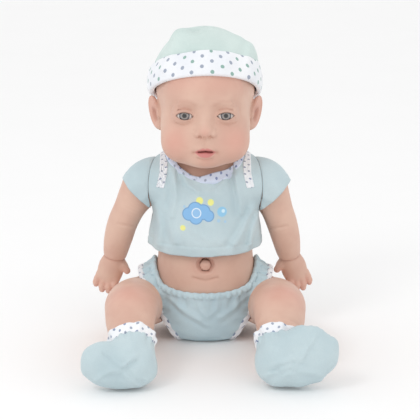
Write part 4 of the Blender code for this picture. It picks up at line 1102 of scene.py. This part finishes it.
def make_arm(side):
    s = SIDES[side]
    low = np.array((0.040, -0.020, 0.030))
    high = np.array((0.118, 0.036, 0.178))
    if s < 0:
        low, high = np.array((-high[0], low[1], low[2])), np.array((-low[0], high[1], high[2]))
    points, quads = polygonise(arm_field(side), low, high, 0.0008)
    obj = to_object(f"{side}_arm_skin", points, quads, SKIN)
    p = points * [s, 1, 1]
    blush = np.zeros(len(p))
    shade = np.zeros(len(p))
    for line in finger_lines(side):
        for k in (1, 2):
            blush += 0.35 * np.exp(-((length(p - np.array(line[k][:3])) / 0.0045) ** 2))
        blush += 0.45 * np.exp(-((length(p - np.array(line[3][:3])) / 0.0042) ** 2))
    blush += 0.5 * np.exp(-((length(p - np.array(thumb_line(side)[2][:3])) / 0.005) ** 2))
    blush += 0.4 * np.exp(-((length(p - (np.array(ARM[side][4][:3]) + (0.006, 0.014, 0.0))) / 0.011) ** 2))
    wrist = np.abs(plane(p, ARM[side][7][:3], np.array(ARM[side][8][:3]) - np.array(ARM[side][6][:3])))
    shade += 0.35 * np.exp(-((wrist / 0.0012) ** 2)) * (length(p - np.array(ARM[side][7][:3])) < 0.022)
    skin_paint(obj, blush=blush, shade=shade)
    settle(obj, f"{side}_arm", "skin_vinyl", f"{side}_arm")


LEG = (
    (0.0540, 0.0270, 0.0335, 0.0100, 0.0110), (0.0545, 0.0210, 0.0330, 0.0175, 0.0195),
    (0.0555, 0.0080, 0.0330, 0.0235, 0.0275), (0.0600, -0.0120, 0.0360, 0.0245, 0.0300),
    (0.0660, -0.0380, 0.0425, 0.0246, 0.0285), (0.0688, -0.0650, 0.0495, 0.0232, 0.0262),
    (0.0692, -0.0880, 0.0545, 0.0220, 0.0252), (0.0692, -0.1040, 0.0540, 0.0214, 0.0240),
    (0.0690, -0.1180, 0.0490, 0.0208, 0.0225), (0.0680, -0.1310, 0.0430, 0.0192, 0.0198),
    (0.0665, -0.1420, 0.0380, 0.0172, 0.0172), (0.0655, -0.1520, 0.0330, 0.0160, 0.0160),
)
FOOT = {
    "right": ((0.0590, -0.1570, 0.0190, 0.0135, 0.0120), (0.0670, -0.1600, 0.0205, 0.0150, 0.0135),
              (0.0790, -0.1630, 0.0230, 0.0155, 0.0115), (0.0900, -0.1650, 0.0260, 0.0155, 0.0095),
              (0.0960, -0.1655, 0.0270, 0.0130, 0.0080)),
    "left": ((0.0590, -0.1550, 0.0190, 0.0135, 0.0120), (0.0680, -0.1580, 0.0210, 0.0150, 0.0135),
             (0.0800, -0.1610, 0.0255, 0.0160, 0.0115), (0.0910, -0.1625, 0.0305, 0.0170, 0.0095),
             (0.0970, -0.1630, 0.0335, 0.0140, 0.0080)),
}


def leg_body(p, side, grow=0.0):
    """The leg and foot, with p turned to the doll's left side."""
    d = tube(p, LEG, (1, 0, 0), grow)
    return join(d, tube(p, FOOT[side], (0, 1, 0), grow), 0.006)


def leg_field(side):
    s = SIDES[side]

    def field(p):
        p = p * [s, 1, 1]
        d = leg_body(p, side)
        knee = ridge(p, [(0.045, -0.100, 0.044), (0.050, -0.108, 0.038), (0.062, -0.113, 0.030)], 0.0020)
        above = ridge(p, [(0.046, -0.066, 0.060), (0.050, -0.071, 0.068), (0.058, -0.076, 0.075)], 0.0030)
        side_fold = ridge(p, [(0.094, -0.093, 0.046), (0.091, -0.101, 0.038), (0.084, -0.110, 0.031)], 0.0022)
        ankle = np.abs(plane(p, LEG[9][:3], np.array(LEG[10][:3]) - np.array(LEG[8][:3])))
        d = d + 0.0013 * knee + 0.0008 * above + 0.0012 * side_fold + 0.0008 * np.exp(-((ankle / 0.002) ** 2))
        cap = length((p - np.array((0.0705, -0.106, 0.066))) / np.array((0.013, 0.013, 0.011)))
        d = d - 0.0009 * np.exp(-(cap ** 2))
        point, axis = HIP["left"]
        h = plane(p, np.array(point) + GAP * unit(axis), axis)
        q = p - np.array(point)
        away = length(q - (q @ unit(axis))[:, None] * unit(axis))
        d = np.maximum(d, -(h + np.maximum(away - 0.051, 0) / 0.65))
        d = np.maximum(d, 0.0004 - p[:, 2])
        d = np.maximum(d, -rod(p, np.array(point) - 0.01 * unit(axis), axis, 0.0113, 0.016))
        return np.maximum(d, -rod(p, np.array(point) + 0.0036 * unit(axis), axis, 0.0163, 0.0023))

    return field


def make_leg(side):
    s = SIDES[side]
    low, high = np.array((0.036, -0.180, 0.0)), np.array((0.112, 0.038, 0.084))
    if s < 0:
        low, high = np.array((-high[0], low[1], low[2])), np.array((-low[0], high[1], high[2]))
    points, quads = polygonise(leg_field(side), low, high, 0.0011)
    obj = to_object(f"{side}_leg_skin", points, quads, SKIN)
    p = points * [s, 1, 1]
    blush = 0.55 * np.exp(-((length((p - np.array((0.0705, -0.108, 0.070))) / np.array((0.020, 0.018, 0.018)))) ** 2))
    shade = 0.30 * ridge(p, [(0.045, -0.100, 0.044), (0.050, -0.108, 0.038), (0.062, -0.113, 0.030)], 0.0024)
    shade += 0.30 * ridge(p, [(0.094, -0.093, 0.046), (0.091, -0.101, 0.038), (0.084, -0.110, 0.031)], 0.0024)
    skin_paint(obj, blush=blush, shade=shade)
    settle(obj, f"{side}_leg", "skin_vinyl", f"{side}_leg")


# ---------------------------------------------------------------- hat

HAT_CENTRE = np.array((0.0, 0.0110, 0.2500))
HAT_RADII = np.array((0.0530, 0.0610, 0.0555))
HAT_EDGE = np.array((0.0, 0.0100, 0.2415))
HAT_UP = np.array((0.0, math.sin(math.radians(24.5)), math.cos(math.radians(24.5))))
CUFF_HEIGHT = 0.024


def hat_field(p, grow=0.0):
    d = ellipsoid(p, HAT_CENTRE, HAT_RADII + grow)
    for x, y, z, reach, wide in (
        (-0.0235, 0.0000, 0.3005, 0.0058, 0.0120), (-0.0110, 0.0000, 0.3050, -0.0038, 0.0080),
        (0.0110, -0.0020, 0.3060, 0.0016, 0.0110), (0.0470, 0.0000, 0.2860, 0.0058, 0.0170),
        (0.0260, -0.0100, 0.3010, -0.0016, 0.0120), (-0.0420, 0.0040, 0.2860, -0.0012, 0.0140),
        (0.0050, 0.0480, 0.2900, -0.0022, 0.0140), (-0.0280, 0.0420, 0.2860, 0.0020, 0.0130),
        (0.0300, 0.0420, 0.2880, 0.0018, 0.0120),
    ):
        d = d - reach * np.exp(-((length(p - np.array((x, y, z))) / wide) ** 2))
    front = step_between(-p[:, 1], -0.030, 0.0)
    flat = p * [1, 0, 1]
    for line, reach, wide in (
        ([(-0.0270, 0, 0.3010), (-0.0140, 0, 0.2930), (0.0040, 0, 0.2900)], 0.0012, 0.0042),
        ([(-0.0300, 0, 0.2960), (-0.0330, 0, 0.2820), (-0.0400, 0, 0.2700)], 0.0011, 0.0040),
        ([(0.0430, 0, 0.2880), (0.0400, 0, 0.2760), (0.0440, 0, 0.2640)], 0.0013, 0.0042),
        ([(0.0340, 0, 0.2960), (0.0220, 0, 0.2850), (0.0180, 0, 0.2740)], 0.0009, 0.0050),
    ):
        d = d - 1.4 * reach * ridge(flat, line, wide) * front
    return d


def rise(p):
    """Height above the plane of the hat's edge."""
    return (p - HAT_EDGE) @ HAT_UP


def make_hat():
    box = (-0.066, -0.060, 0.232), (0.066, 0.084, 0.318)
    points, quads = open_sheet(hat_field, [lambda p: 0.012 - rise(p)], *box, 0.0012)
    crown = solidify(to_object("hat_crown_cloth", points, quads, HAT))
    settle(crown, "head", "hat_mint_knit", "hat_crown")

    def cuff_field(p):
        turn = np.arctan2(p[:, 0], -(p[:, 1] - 0.011))
        h = rise(p)
        wave = 0.0005 * np.sin(3 * turn + 0.6) + 0.0003 * np.sin(7 * turn + 1.0)
        belly = 0.0011 * np.sin(math.pi * np.clip(h / CUFF_HEIGHT, 0, 1))
        outer = hat_field(p, 0.0022) - wave - belly
        inner = -(hat_field(p, 0.0002) + 0.0034 * step_between(h, 0.012, 0.004))
        d = keep(outer, inner, 0.0010)
        d = keep(d, -0.0005 - h + 0.0006 * np.sin(2 * turn), 0.0022)
        return keep(d, h - CUFF_HEIGHT - 0.0007 * np.sin(3 * turn + 1.0), 0.0014)

    points, quads = polygonise(cuff_field, (-0.066, -0.060, 0.212), (0.066, 0.084, 0.296), 0.0009)
    cuff = to_object("hat_turned_cuff", points, quads, HAT_DOTS)
    turn = np.arctan2(points[:, 0], -(points[:, 1] - 0.011))
    around = 19 * HAT_PITCH
    lay_out(cuff, turn / (2 * math.pi) * around + 0.0030, rise(points) + 0.0002, around)
    settle(cuff, "head", "dotted_cotton", "hat_cuff")


# ---------------------------------------------------------------- shirt

HEM_Z = 0.0955
NECK_POINT = np.array((0.0, 0.0142, 0.150))
NECK_AXIS = np.array((0.0, -math.sin(math.radians(22)), math.cos(math.radians(22))))


def neck_reach(p):
    """Distance from the neck opening's axis, and height along it."""
    h, away = from_axis(p, NECK_POINT, NECK_AXIS)
    return away, h


FRONT_FOLDS = (  # line, height, width
    ([(-0.0300, 0, 0.1680), (-0.0280, 0, 0.1500), (-0.0320, 0, 0.1300)], 0.0013, 0.0032),
    ([(-0.0220, 0, 0.1680), (-0.0160, 0, 0.1580), (-0.0060, 0, 0.1520)], 0.0010, 0.0028),
    ([(0.0290, 0, 0.1660), (0.0330, 0, 0.1500), (0.0350, 0, 0.1320)], 0.0013, 0.0034),
    ([(0.0200, 0, 0.1650), (0.0120, 0, 0.1560)], 0.0008, 0.0030),
    ([(-0.0460, 0, 0.1340), (-0.0430, 0, 0.1180), (-0.0460, 0, 0.1020)], 0.0019, 0.0050),
    ([(-0.0380, 0, 0.1340), (-0.0330, 0, 0.1180), (-0.0290, 0, 0.1060)], 0.0011, 0.0040),
    ([(0.0450, 0, 0.1330), (0.0370, 0, 0.1170), (0.0280, 0, 0.1050)], 0.0018, 0.0044),
    ([(0.0500, 0, 0.1250), (0.0460, 0, 0.1140), (0.0440, 0, 0.1020)], 0.0016, 0.0040),
    ([(-0.0080, 0, 0.1150), (0.0040, 0, 0.1080), (0.0160, 0, 0.1070)], 0.0007, 0.0045),
)


def shirt_field(p, grow=0.0):
    d = trunk(p, SHIRT_ROWS, grow)
    d = keep(d, p[:, 2] - 0.1830 - grow, 0.003)
    for side in SIDES:
        point, axis = SHOULDER[side]
        d = join(d, rod(p, np.array(point) - 0.024 * unit(axis), axis, 0.0242 + grow, 0.030), 0.009)
        yoke = np.array((0.0135, 0.0220, 0.0150)) + grow
        d = join(d, ellipsoid(p, (SIDES[side] * 0.0360, 0.0140, 0.1665), yoke), 0.010)
    front = step_between(-p[:, 1], 0.0, 0.022)
    flat = p * [1, 0, 1]
    for line, reach, wide in FRONT_FOLDS:
        d = d - 1.9 * reach * ridge(flat, line, wide) * front
        d = d + 1.3 * reach * ridge(flat + [0.0056, 0, 0.0], line, wide) * front
        back = ridge(flat * [-1, 1, 1], line, wide * 1.1) * step_between(p[:, 1], 0.0, 0.022)
        d = d - 0.8 * reach * back
    turn = np.arctan2(p[:, 0], -p[:, 1])
    low = step_between(p[:, 2], 0.125, 0.100)
    waves = 0.0012 * np.sin(4 * turn + 0.8) + 0.0007 * np.sin(9 * turn + 2.0) + 0.0004 * np.sin(17 * turn)
    d = d - low * waves
    hem = step_between(p[:, 2], HEM_Z + 0.0068, HEM_Z + 0.0058)
    groove = np.exp(-(((p[:, 2] - HEM_Z - 0.0066) / 0.0007) ** 2))
    return d - 0.0004 * hem + 0.0005 * groove


def shirt_trims():
    def hem(p):
        turn = np.arctan2(p[:, 0], -p[:, 1])
        dip = 0.0022 * step_between(-p[:, 1], 0.0, 0.050)
        return HEM_Z - dip - p[:, 2] + 0.0006 * np.sin(3 * turn)

    def neck(p):
        away, h = neck_reach(p)
        return np.minimum(0.0362 - away, h)

    def arm(side):
        point, axis = SHOULDER[side]

        def field(p):
            h, away = from_axis(p, point, unit(axis))
            return np.minimum(h + 0.0001, 0.0330 - away)

        return field

    return [hem, neck, arm("right"), arm("left")]


def make_shirt():
    box = (-0.068, -0.060, 0.090), (0.068, 0.058, 0.196)
    points, quads = open_sheet(shirt_field, shirt_trims(), *box, 0.0012)
    body = solidify(to_object("shirt_body_cloth", points, quads, SHIRT))
    settle(body, "torso", "blue_cotton", "shirt_body")

    def collar_field(p):
        away, h = neck_reach(p)
        turn = np.arctan2(p[:, 0], -(p[:, 1] - 0.012))
        lift = 0.0008 * np.sin(5 * turn + 0.5) + 0.0005 * np.sin(9 * turn)
        d = keep(shirt_field(p, 0.0011) - lift, -shirt_field(p, -0.0010), 0.0008)
        d = keep(d, away - 0.0385 - 0.0008 * np.sin(3 * turn), 0.0012)
        d = keep(d, 0.0325 - away - 0.0006 * np.sin(4 * turn), 0.0016)
        return np.maximum(d, -h)

    points, quads = polygonise(collar_field, (-0.046, -0.046, 0.148), (0.046, 0.058, 0.197), 0.0008)
    collar = to_object("shirt_neck_binding", points, quads, COLLAR_DOTS)
    turn = np.arctan2(points[:, 0], -(points[:, 1] - 0.012))
    around = 25 * COLLAR_PITCH
    lay_out(collar, turn / (2 * math.pi) * around, neck_reach(points)[0] - 0.0325, around)
    settle(collar, "torso", "dotted_cotton", "shirt_collar")
    for side, s in SIDES.items():
        point, axis = SHOULDER[side]

        def lap_field(p, s=s, point=point, axis=axis):
            x = s * p[:, 0]
            d = keep(shirt_field(p, 0.0007), -shirt_field(p, -0.0003), 0.0004)
            d = keep(d, np.abs(x - 0.0405 - 0.24 * np.maximum(0.168 - p[:, 2], 0)) - 0.0040, 0.0008)
            d = keep(d, 0.1535 + 0.10 * (p[:, 1] + 0.03) - p[:, 2], 0.001)
            d = keep(d, 0.0388 - neck_reach(p)[0], 0.0005)
            return np.maximum(d, plane(p, point, axis) + 0.0004)

        low, high = sorted((s * 0.030, s * 0.056))
        points, quads = polygonise(lap_field, (low, -0.050, 0.148), (high, 0.058, 0.194), 0.0008)
        lap = to_object(f"{side}_shoulder_lap_binding", points, quads, TRIM_DOTS)
        across = s * points[:, 0] - 0.0360 - 0.24 * np.maximum(0.168 - points[:, 2], 0)
        behind = np.where(points[:, 1] > 0.014, 1.0, -1.0)
        lay_out(lap, points[:, 1] + behind * (0.182 - points[:, 2]), across, None)
        settle(lap, "torso", "dotted_cotton")
        make_sleeve(side)


SLEEVE = (
    (0.0420, 0.0030, 0.1555, 0.0232, 0.0230), (0.0500, 0.0030, 0.1545, 0.0240, 0.0238),
    (0.0570, 0.0030, 0.1510, 0.0238, 0.0238), (0.0630, 0.0030, 0.1445, 0.0222, 0.0224),
    (0.0690, 0.0030, 0.1370, 0.0212, 0.0214), (0.0750, 0.0030, 0.1295, 0.0208, 0.0210),
)
SLEEVE_END = {
    "right": ((0.0672, 0.0030, 0.1440), (0.700, 0.0, -0.714)),
    "left": ((0.0668, 0.0030, 0.1402), (0.680, 0.0, -0.733)),
}


def make_sleeve(side):
    s = SIDES[side]
    point, axis = SHOULDER["left"]

    def field(p):
        q = p * [s, 1, 1]
        d = tube(q, SLEEVE, (0, 1, 0))
        turn = np.arctan2(q[:, 1] - 0.003, (q[:, 2] - 0.147) * 0.78 + (q[:, 0] - 0.062) * 0.62)
        out = step_between(plane(q, point, axis), 0.0, 0.02)
        d = d - out * (0.0008 * np.sin(3 * turn + 0.7 * s) + 0.0006 * np.sin(5 * turn + 2.0))
        for line, reach, wide in (
            ([(0.0500, -0.018, 0.1480), (0.0600, -0.020, 0.1420), (0.0700, -0.017, 0.1360)], 0.0012, 0.0032),
            ([(0.0510, -0.014, 0.1640), (0.0620, -0.017, 0.1560), (0.0740, -0.015, 0.1500)], 0.0009, 0.0036),
            ([(0.0500, -0.010, 0.1360), (0.0560, -0.013, 0.1330), (0.0620, -0.012, 0.1290)], 0.0014, 0.0026),
            ([(0.0510, 0.020, 0.1580), (0.0620, 0.023, 0.1500), (0.0720, 0.020, 0.1440)], 0.0012, 0.0036),
        ):
            d = d - reach * ridge(q, line, wide)
        seam = plane(q, point, axis)
        d = d + 0.0008 * np.exp(-((seam / 0.0016) ** 2))
        hem = step_between(plane(q, *SLEEVE_END[side]), -0.0068, -0.0060)
        return d - 0.0003 * hem

    def root(p):
        return 0.0002 - plane(p * [s, 1, 1], point, axis)

    def end(p):
        return plane(p * [s, 1, 1], *SLEEVE_END[side])

    low, high = sorted((s * 0.040, s * 0.094))
    points, quads = open_sheet(field, [root, end], (low, -0.028, 0.115), (high, 0.034, 0.186), 0.0011)
    sleeve = solidify(to_object(f"{side}_sleeve_cloth", points, quads, COTTON))
    settle(sleeve, f"{side}_arm", "blue_cotton", f"{side}_sleeve")


# ---------------------------------------------------------------- briefs

WAIST = np.array((0.0, 0.0, 0.0710))
WAIST_UP = np.array((0.0, -math.sin(math.radians(18)), math.cos(math.radians(18))))


def below_waist(p):
    """Distance below the waist's edge, which rises over the hips and is level behind them."""
    q = WAIST - p
    q[:, 1] = np.maximum(q[:, 1], 0)
    rise = 0.0085 * step_between(np.abs(p[:, 0]), 0.040, 0.052) * step_between(p[:, 1], 0.024, 0.002)
    return q @ WAIST_UP + rise


def briefs_form(p, grow):
    """The torso with cloth that stands off it at the hips."""
    d = torso_outer(p, grow)
    for s in SIDES.values():
        d = join(d, ellipsoid(p, (s * 0.0540, -0.0040, 0.0490), np.array((0.0140, 0.0310, 0.0135)) + grow), 0.010)
    return d


def briefs_field(p, grow=0.0032):
    d = briefs_form(p, grow)
    turn = np.arctan2(p[:, 0], -p[:, 1])
    down = below_waist(p)
    near_waist = np.exp(-((down - 0.006) / 0.010) ** 2)
    d = d - near_waist * (0.0006 * np.sin(34 * turn) + 0.0005 * np.sin(21 * turn + 1.2))
    for side in SIDES:
        point, axis = HIP[side]
        h = plane(p, point, axis)
        q = p - np.array(point)
        spin = np.arctan2(q[:, 1], q[:, 2])
        near = np.exp(-(((h + 0.006) / 0.008) ** 2)) * (p[:, 2] < 0.066)
        d = d - near * (0.0006 * np.sin(24 * spin) + 0.0004 * np.sin(15 * spin + 0.8))
    front = step_between(-p[:, 1], 0.010, 0.030)
    flat = p * [1, 0, 1]
    for line, reach, wide in (
        ([(-0.0440, 0, 0.0560), (-0.0250, 0, 0.0400), (-0.0060, 0, 0.0290)], 0.0016, 0.0034),
        ([(-0.0340, 0, 0.0500), (-0.0200, 0, 0.0340), (0.0020, 0, 0.0220)], 0.0013, 0.0030),
        ([(0.0440, 0, 0.0560), (0.0300, 0, 0.0400), (0.0160, 0, 0.0300)], 0.0014, 0.0034),
        ([(-0.0080, 0, 0.0480), (-0.0060, 0, 0.0380), (0.0020, 0, 0.0300)], 0.0010, 0.0028),
        ([(0.0140, 0, 0.0480), (0.0120, 0, 0.0400), (0.0060, 0, 0.0340)], 0.0008, 0.0028),
    ):
        free = front * step_between(down, 0.0070, 0.0150)
        d = d - 1.3 * reach * ridge(flat, line, wide) * free
        d = d + 0.8 * reach * ridge(flat + [0, 0, 0.0050], line, wide) * free
    return np.maximum(d, 0.0002 - p[:, 2])


def make_briefs():
    edge = 0.0046
    trims = [lambda p: edge - below_waist(p)]
    for side in SIDES:
        point, axis = HIP[side]
        trims.append(lambda p, point=point, axis=axis: plane(p, point, axis) + edge)
    points, quads = open_sheet(briefs_field, trims, (-0.074, -0.060, -0.001), (0.074, 0.060, 0.094), 0.0012)
    body = solidify(to_object("briefs_body_cloth", points, quads, BRIEFS), 0.0010)
    settle(body, "torso", "blue_cotton", "briefs_body")

    def band_field(p):
        turn = np.arctan2(p[:, 0], -p[:, 1])
        ripple = 0.00045 * np.sin(58 * turn) + 0.0003 * np.sin(31 * turn)
        down = below_waist(p)
        swell = 0.0008 * np.sin(math.pi * np.clip(down / 0.006, 0, 1))
        outer = briefs_form(p, 0.0036) - ripple - swell
        d = keep(outer, -briefs_form(p, 0.0007), 0.0008)
        d = keep(d, -down + 0.0003 * np.sin(40 * turn), 0.0012)
        d = keep(d, down - 0.0062, 0.0012)
        for side in SIDES:
            d = np.maximum(d, plane(p, *HIP[side]) + 0.0062)
        return d

    points, quads = polygonise(band_field, (-0.074, -0.058, 0.040), (0.074, 0.056, 0.096), 0.0008)
    band = to_object("briefs_waist_elastic", points, quads, BRIEFS)
    settle(band, "torso", "blue_cotton", "briefs_waistband")
    for side, s in SIDES.items():
        point, axis = HIP[side]

        def binding_field(p, point=point, axis=axis):
            q = p - np.array(point)
            spin = np.arctan2(q[:, 1], q[:, 2])
            ripple = 0.0004 * np.sin(30 * spin) + 0.0003 * np.sin(19 * spin + 1.0)
            h = plane(p, point, axis)
            swell = 0.0007 * np.sin(math.pi * np.clip(-h / 0.006, 0, 1))
            d = keep(briefs_form(p, 0.0036) - ripple - swell, -briefs_form(p, 0.0007), 0.0008)
            d = keep(d, h + 0.0003, 0.0010)
            d = keep(d, -0.0062 - h, 0.0010)
            d = keep(d, 0.0060 - below_waist(p), 0.0010)
            return np.maximum(d, 0.0003 - p[:, 2])

        low, high = sorted((s * 0.014, s * 0.078))
        points, quads = polygonise(binding_field, (low, -0.054, -0.001), (high, 0.056, 0.082), 0.0008)
        binding = to_object(f"{side}_leg_opening_binding", points, quads, TRIM_DOTS)
        q = points - np.array(point)
        spin = np.arctan2(q[:, 1], q[:, 2])
        around = 20 * TRIM_PITCH
        lay_out(binding, spin / (2 * math.pi) * around, -(q @ unit(axis)), around)
        settle(binding, "torso", "dotted_cotton", f"{side}_leg_binding")


# ---------------------------------------------------------------- booties

BOOTIE = {
    "right": ((0.0560, -0.1580, 0.0190, 0.0165, 0.0130), (0.0630, -0.1600, 0.0205, 0.0200, 0.0165),
              (0.0740, -0.1625, 0.0220, 0.0215, 0.0170), (0.0860, -0.1650, 0.0245, 0.0215, 0.0145),
              (0.0960, -0.1665, 0.0270, 0.0195, 0.0120), (0.1020, -0.1670, 0.0280, 0.0160, 0.0095)),
    "left": ((0.0590, -0.1560, 0.0190, 0.0160, 0.0130), (0.0670, -0.1580, 0.0215, 0.0210, 0.0165),
             (0.0790, -0.1605, 0.0265, 0.0255, 0.0170), (0.0920, -0.1630, 0.0330, 0.0280, 0.0145),
             (0.1030, -0.1645, 0.0330, 0.0235, 0.0120), (0.1100, -0.1650, 0.0310, 0.0170, 0.0095)),
}
ANKLE = np.array(LEG[10][:3])
ALONG = unit(np.array(LEG[11][:3]) - np.array(LEG[9][:3]))
ANKLE_RUN = (LEG[8], LEG[9], LEG[10], LEG[11])
PUCKERS = {
    "right": (((0.0560, -0.172, 0.004), (0.0660, -0.181, 0.014), (0.0740, -0.181, 0.022)),
              ((0.0500, -0.170, 0.010), (0.0600, -0.181, 0.018), (0.0700, -0.181, 0.030)),
              ((0.0980, -0.178, 0.012), (0.0900, -0.181, 0.020), (0.0800, -0.181, 0.026)),
              ((0.0900, -0.176, 0.042), (0.0820, -0.181, 0.034), (0.0760, -0.181, 0.030)),
              ((0.0620, -0.174, 0.036), (0.0700, -0.181, 0.030), (0.0790, -0.181, 0.022))),
    "left": (((0.0580, -0.170, 0.004), (0.0660, -0.178, 0.012), (0.0740, -0.178, 0.020)),
             ((0.0520, -0.168, 0.014), (0.0640, -0.178, 0.022), (0.0760, -0.178, 0.028)),
             ((0.0560, -0.168, 0.024), (0.0660, -0.177, 0.030), (0.0780, -0.178, 0.034)),
             ((0.1000, -0.175, 0.056), (0.0920, -0.178, 0.044), (0.0860, -0.178, 0.034)),
             ((0.1100, -0.174, 0.016), (0.0980, -0.178, 0.020), (0.0860, -0.178, 0.022))),
}


def bootie_field(side):
    s = SIDES[side]

    def field(p):
        p = p * [s, 1, 1]
        d = tube(p, BOOTIE[side], (0, 1, 0))
        d = join(d, tube(p, ANKLE_RUN, (1, 0, 0), 0.0028), 0.009)
        for line in PUCKERS[side]:
            d = d - 0.0018 * ridge(p, line, 0.0030)
            d = d + 0.0014 * ridge(p + [0.0, 0.0, 0.0045], line, 0.0026)
        h = (p - ANKLE) @ ALONG
        spin = np.arctan2(p[:, 0] - ANKLE[0], (p - ANKLE) @ np.cross(ALONG, (1, 0, 0)))
        gather = np.exp(-(((h - 0.006) / 0.007) ** 2))
        d = d - gather * (0.0007 * np.sin(16 * spin) + 0.0004 * np.sin(11 * spin + 1.0))
        q = p - np.array(BOOTIE[side][3][:3])
        d = d - 0.0007 * np.sin(q[:, 0] * 260 + 3 * s) * np.sin(q[:, 2] * 210 + 1.0)
        return keep(d, 0.0011 - p[:, 2], 0.004)

    return field


def make_bootie(side):
    s = SIDES[side]

    def top(p):
        h, away = from_axis(p * [s, 1, 1], ANKLE, ALONG)
        return np.minimum(0.0058 - h, 0.0270 - away)

    low, high = sorted((s * 0.034, s * 0.124))
    points, quads = open_sheet(bootie_field(side), [top], (low, -0.186, 0.0), (high, -0.120, 0.068), 0.0011)
    bag = solidify(to_object(f"{side}_bootie_cloth", points, quads, COTTON), 0.0009)
    settle(bag, f"{side}_leg", "blue_cotton", f"{side}_bootie")

    def cuff_field(p):
        p = p * [s, 1, 1]
        h = (p - ANKLE) @ ALONG
        spin = np.arctan2(p[:, 0] - ANKLE[0], (p - ANKLE) @ np.cross(ALONG, (1, 0, 0)))
        ripple = 0.0006 * np.sin(9 * spin + s) + 0.0004 * np.sin(14 * spin)
        flare = 0.0016 * step_between(-h, -0.004, 0.004)
        outer = tube(p, ANKLE_RUN, (1, 0, 0), 0.0034) - ripple - flare
        d = keep(outer, -tube(p, ANKLE_RUN, (1, 0, 0), 0.0009), 0.0008)
        d = keep(d, -0.0030 - h + 0.0006 * np.sin(5 * spin), 0.0012)
        return keep(d, h - 0.0064, 0.0012)

    points, quads = polygonise(cuff_field, (low, -0.165, 0.010), (high, -0.118, 0.066), 0.0008)
    cuff = to_object(f"{side}_ankle_binding", points, quads, TRIM_DOTS)
    q = points * [s, 1, 1] - ANKLE
    spin = np.arctan2(q[:, 0], q @ np.cross(ALONG, (1, 0, 0)))
    around = 12 * TRIM_PITCH
    lay_out(cuff, spin / (2 * math.pi) * around, q @ ALONG + 0.0036, around)
    settle(cuff, f"{side}_leg", "dotted_cotton", f"{side}_bootie_cuff")


# ---------------------------------------------------------------- what the CAD keeps

KEPT = {
    "white_plastic": plain("moulded_white", (0.80, 0.80, 0.78, 1.0), 0.45),
    "black_plastic": plain("moulded_black", (0.035, 0.035, 0.037, 1.0), 0.45),
    "board_green": plain("board_lacquer", (0.05, 0.24, 0.10, 1.0), 0.40, grain=900.0),
    "steel": plain("zinc_plated_steel", (0.62, 0.62, 0.62, 1.0), 0.34, 1.0, 500.0),
    "battery_jacket": plain("cell_jacket", (0.10, 0.16, 0.40, 1.0), 0.34),
    "paper_cone": plain("pressed_paper", (0.09, 0.09, 0.09, 1.0), 0.90, grain=1500.0),
    "wire_red": plain("red_insulation", (0.50, 0.035, 0.03, 1.0), 0.50),
    "wire_black": plain("black_insulation", (0.03, 0.03, 0.03, 1.0), 0.50),
    "skin_vinyl": SKIN,
}


def finish_kept_nodes():
    for row in frame["record"]["subparts"]:
        obj = frame["nodes"][row["node"]]
        if not obj.hide_render and row["material_slot"] in KEPT:
            for place in obj.material_slots:
                place.material = KEPT[row["material_slot"]]


# ---------------------------------------------------------------- floor, lights and camera


def area_light(name, at, aim, size, power, colour=(1.0, 1.0, 1.0)):
    data = bpy.data.lights.new(name, "AREA")
    data.shape = "DISK"
    data.size = size
    data.energy = power
    data.color = colour
    obj = bpy.data.objects.new(name, data)
    bpy.context.scene.collection.objects.link(obj)
    obj.location = at
    obj.rotation_mode = "QUATERNION"
    obj.rotation_quaternion = (Vector(aim) - Vector(at)).to_track_quat("-Z", "Y")


def studio():
    scene = bpy.context.scene
    scene.view_settings.view_transform = "Standard"
    world = bpy.data.worlds.new("studio")
    scene.world = world
    world.use_nodes = True
    world.node_tree.nodes["Background"].inputs["Color"].default_value = (1.0, 1.0, 1.0, 1.0)
    world.node_tree.nodes["Background"].inputs["Strength"].default_value = 0.98
    mesh = bpy.data.meshes.new("floor")
    mesh.from_pydata([(-6, -6, 0), (6, -6, 0), (6, 6, 0), (-6, 6, 0)], [], [(0, 1, 2, 3)])
    m = Paint("pale_floor")
    pale = m.mix(m.noise(6.0), (0.96, 0.96, 0.96, 1.0), (0.94, 0.94, 0.94, 1.0))
    mesh.materials.append(m.finish(Base_Color=pale, Roughness=0.9))
    floor = bpy.data.objects.new("floor", mesh)
    scene.collection.objects.link(floor)
    area_light("key", (-0.75, -0.95, 1.25), (0, -0.03, 0.14), 0.5, 3.4)
    area_light("fill", (0.95, -0.90, 0.60), (0, -0.03, 0.14), 0.9, 0.6)
    data = bpy.data.cameras.new("camera")
    camera = bpy.data.objects.new("camera", data)
    scene.collection.objects.link(camera)
    tilt = math.radians(14.2)
    aim = Vector((0.0045, -0.02, 0.1309))
    camera.location = aim + 1.5 * Vector((0, -math.cos(tilt), math.sin(tilt)))
    camera.rotation_mode = "QUATERNION"
    camera.rotation_quaternion = (aim - camera.location).to_track_quat("-Z", "Y")
    data.lens = 132.4
    data.sensor_width = 36.0
    scene.camera = camera


make_torso()
make_head()
for side_name in SIDES:
    make_arm(side_name)
    make_leg(side_name)
    make_bootie(side_name)
make_hat()
make_shirt()
make_briefs()
finish_kept_nodes()
studio()
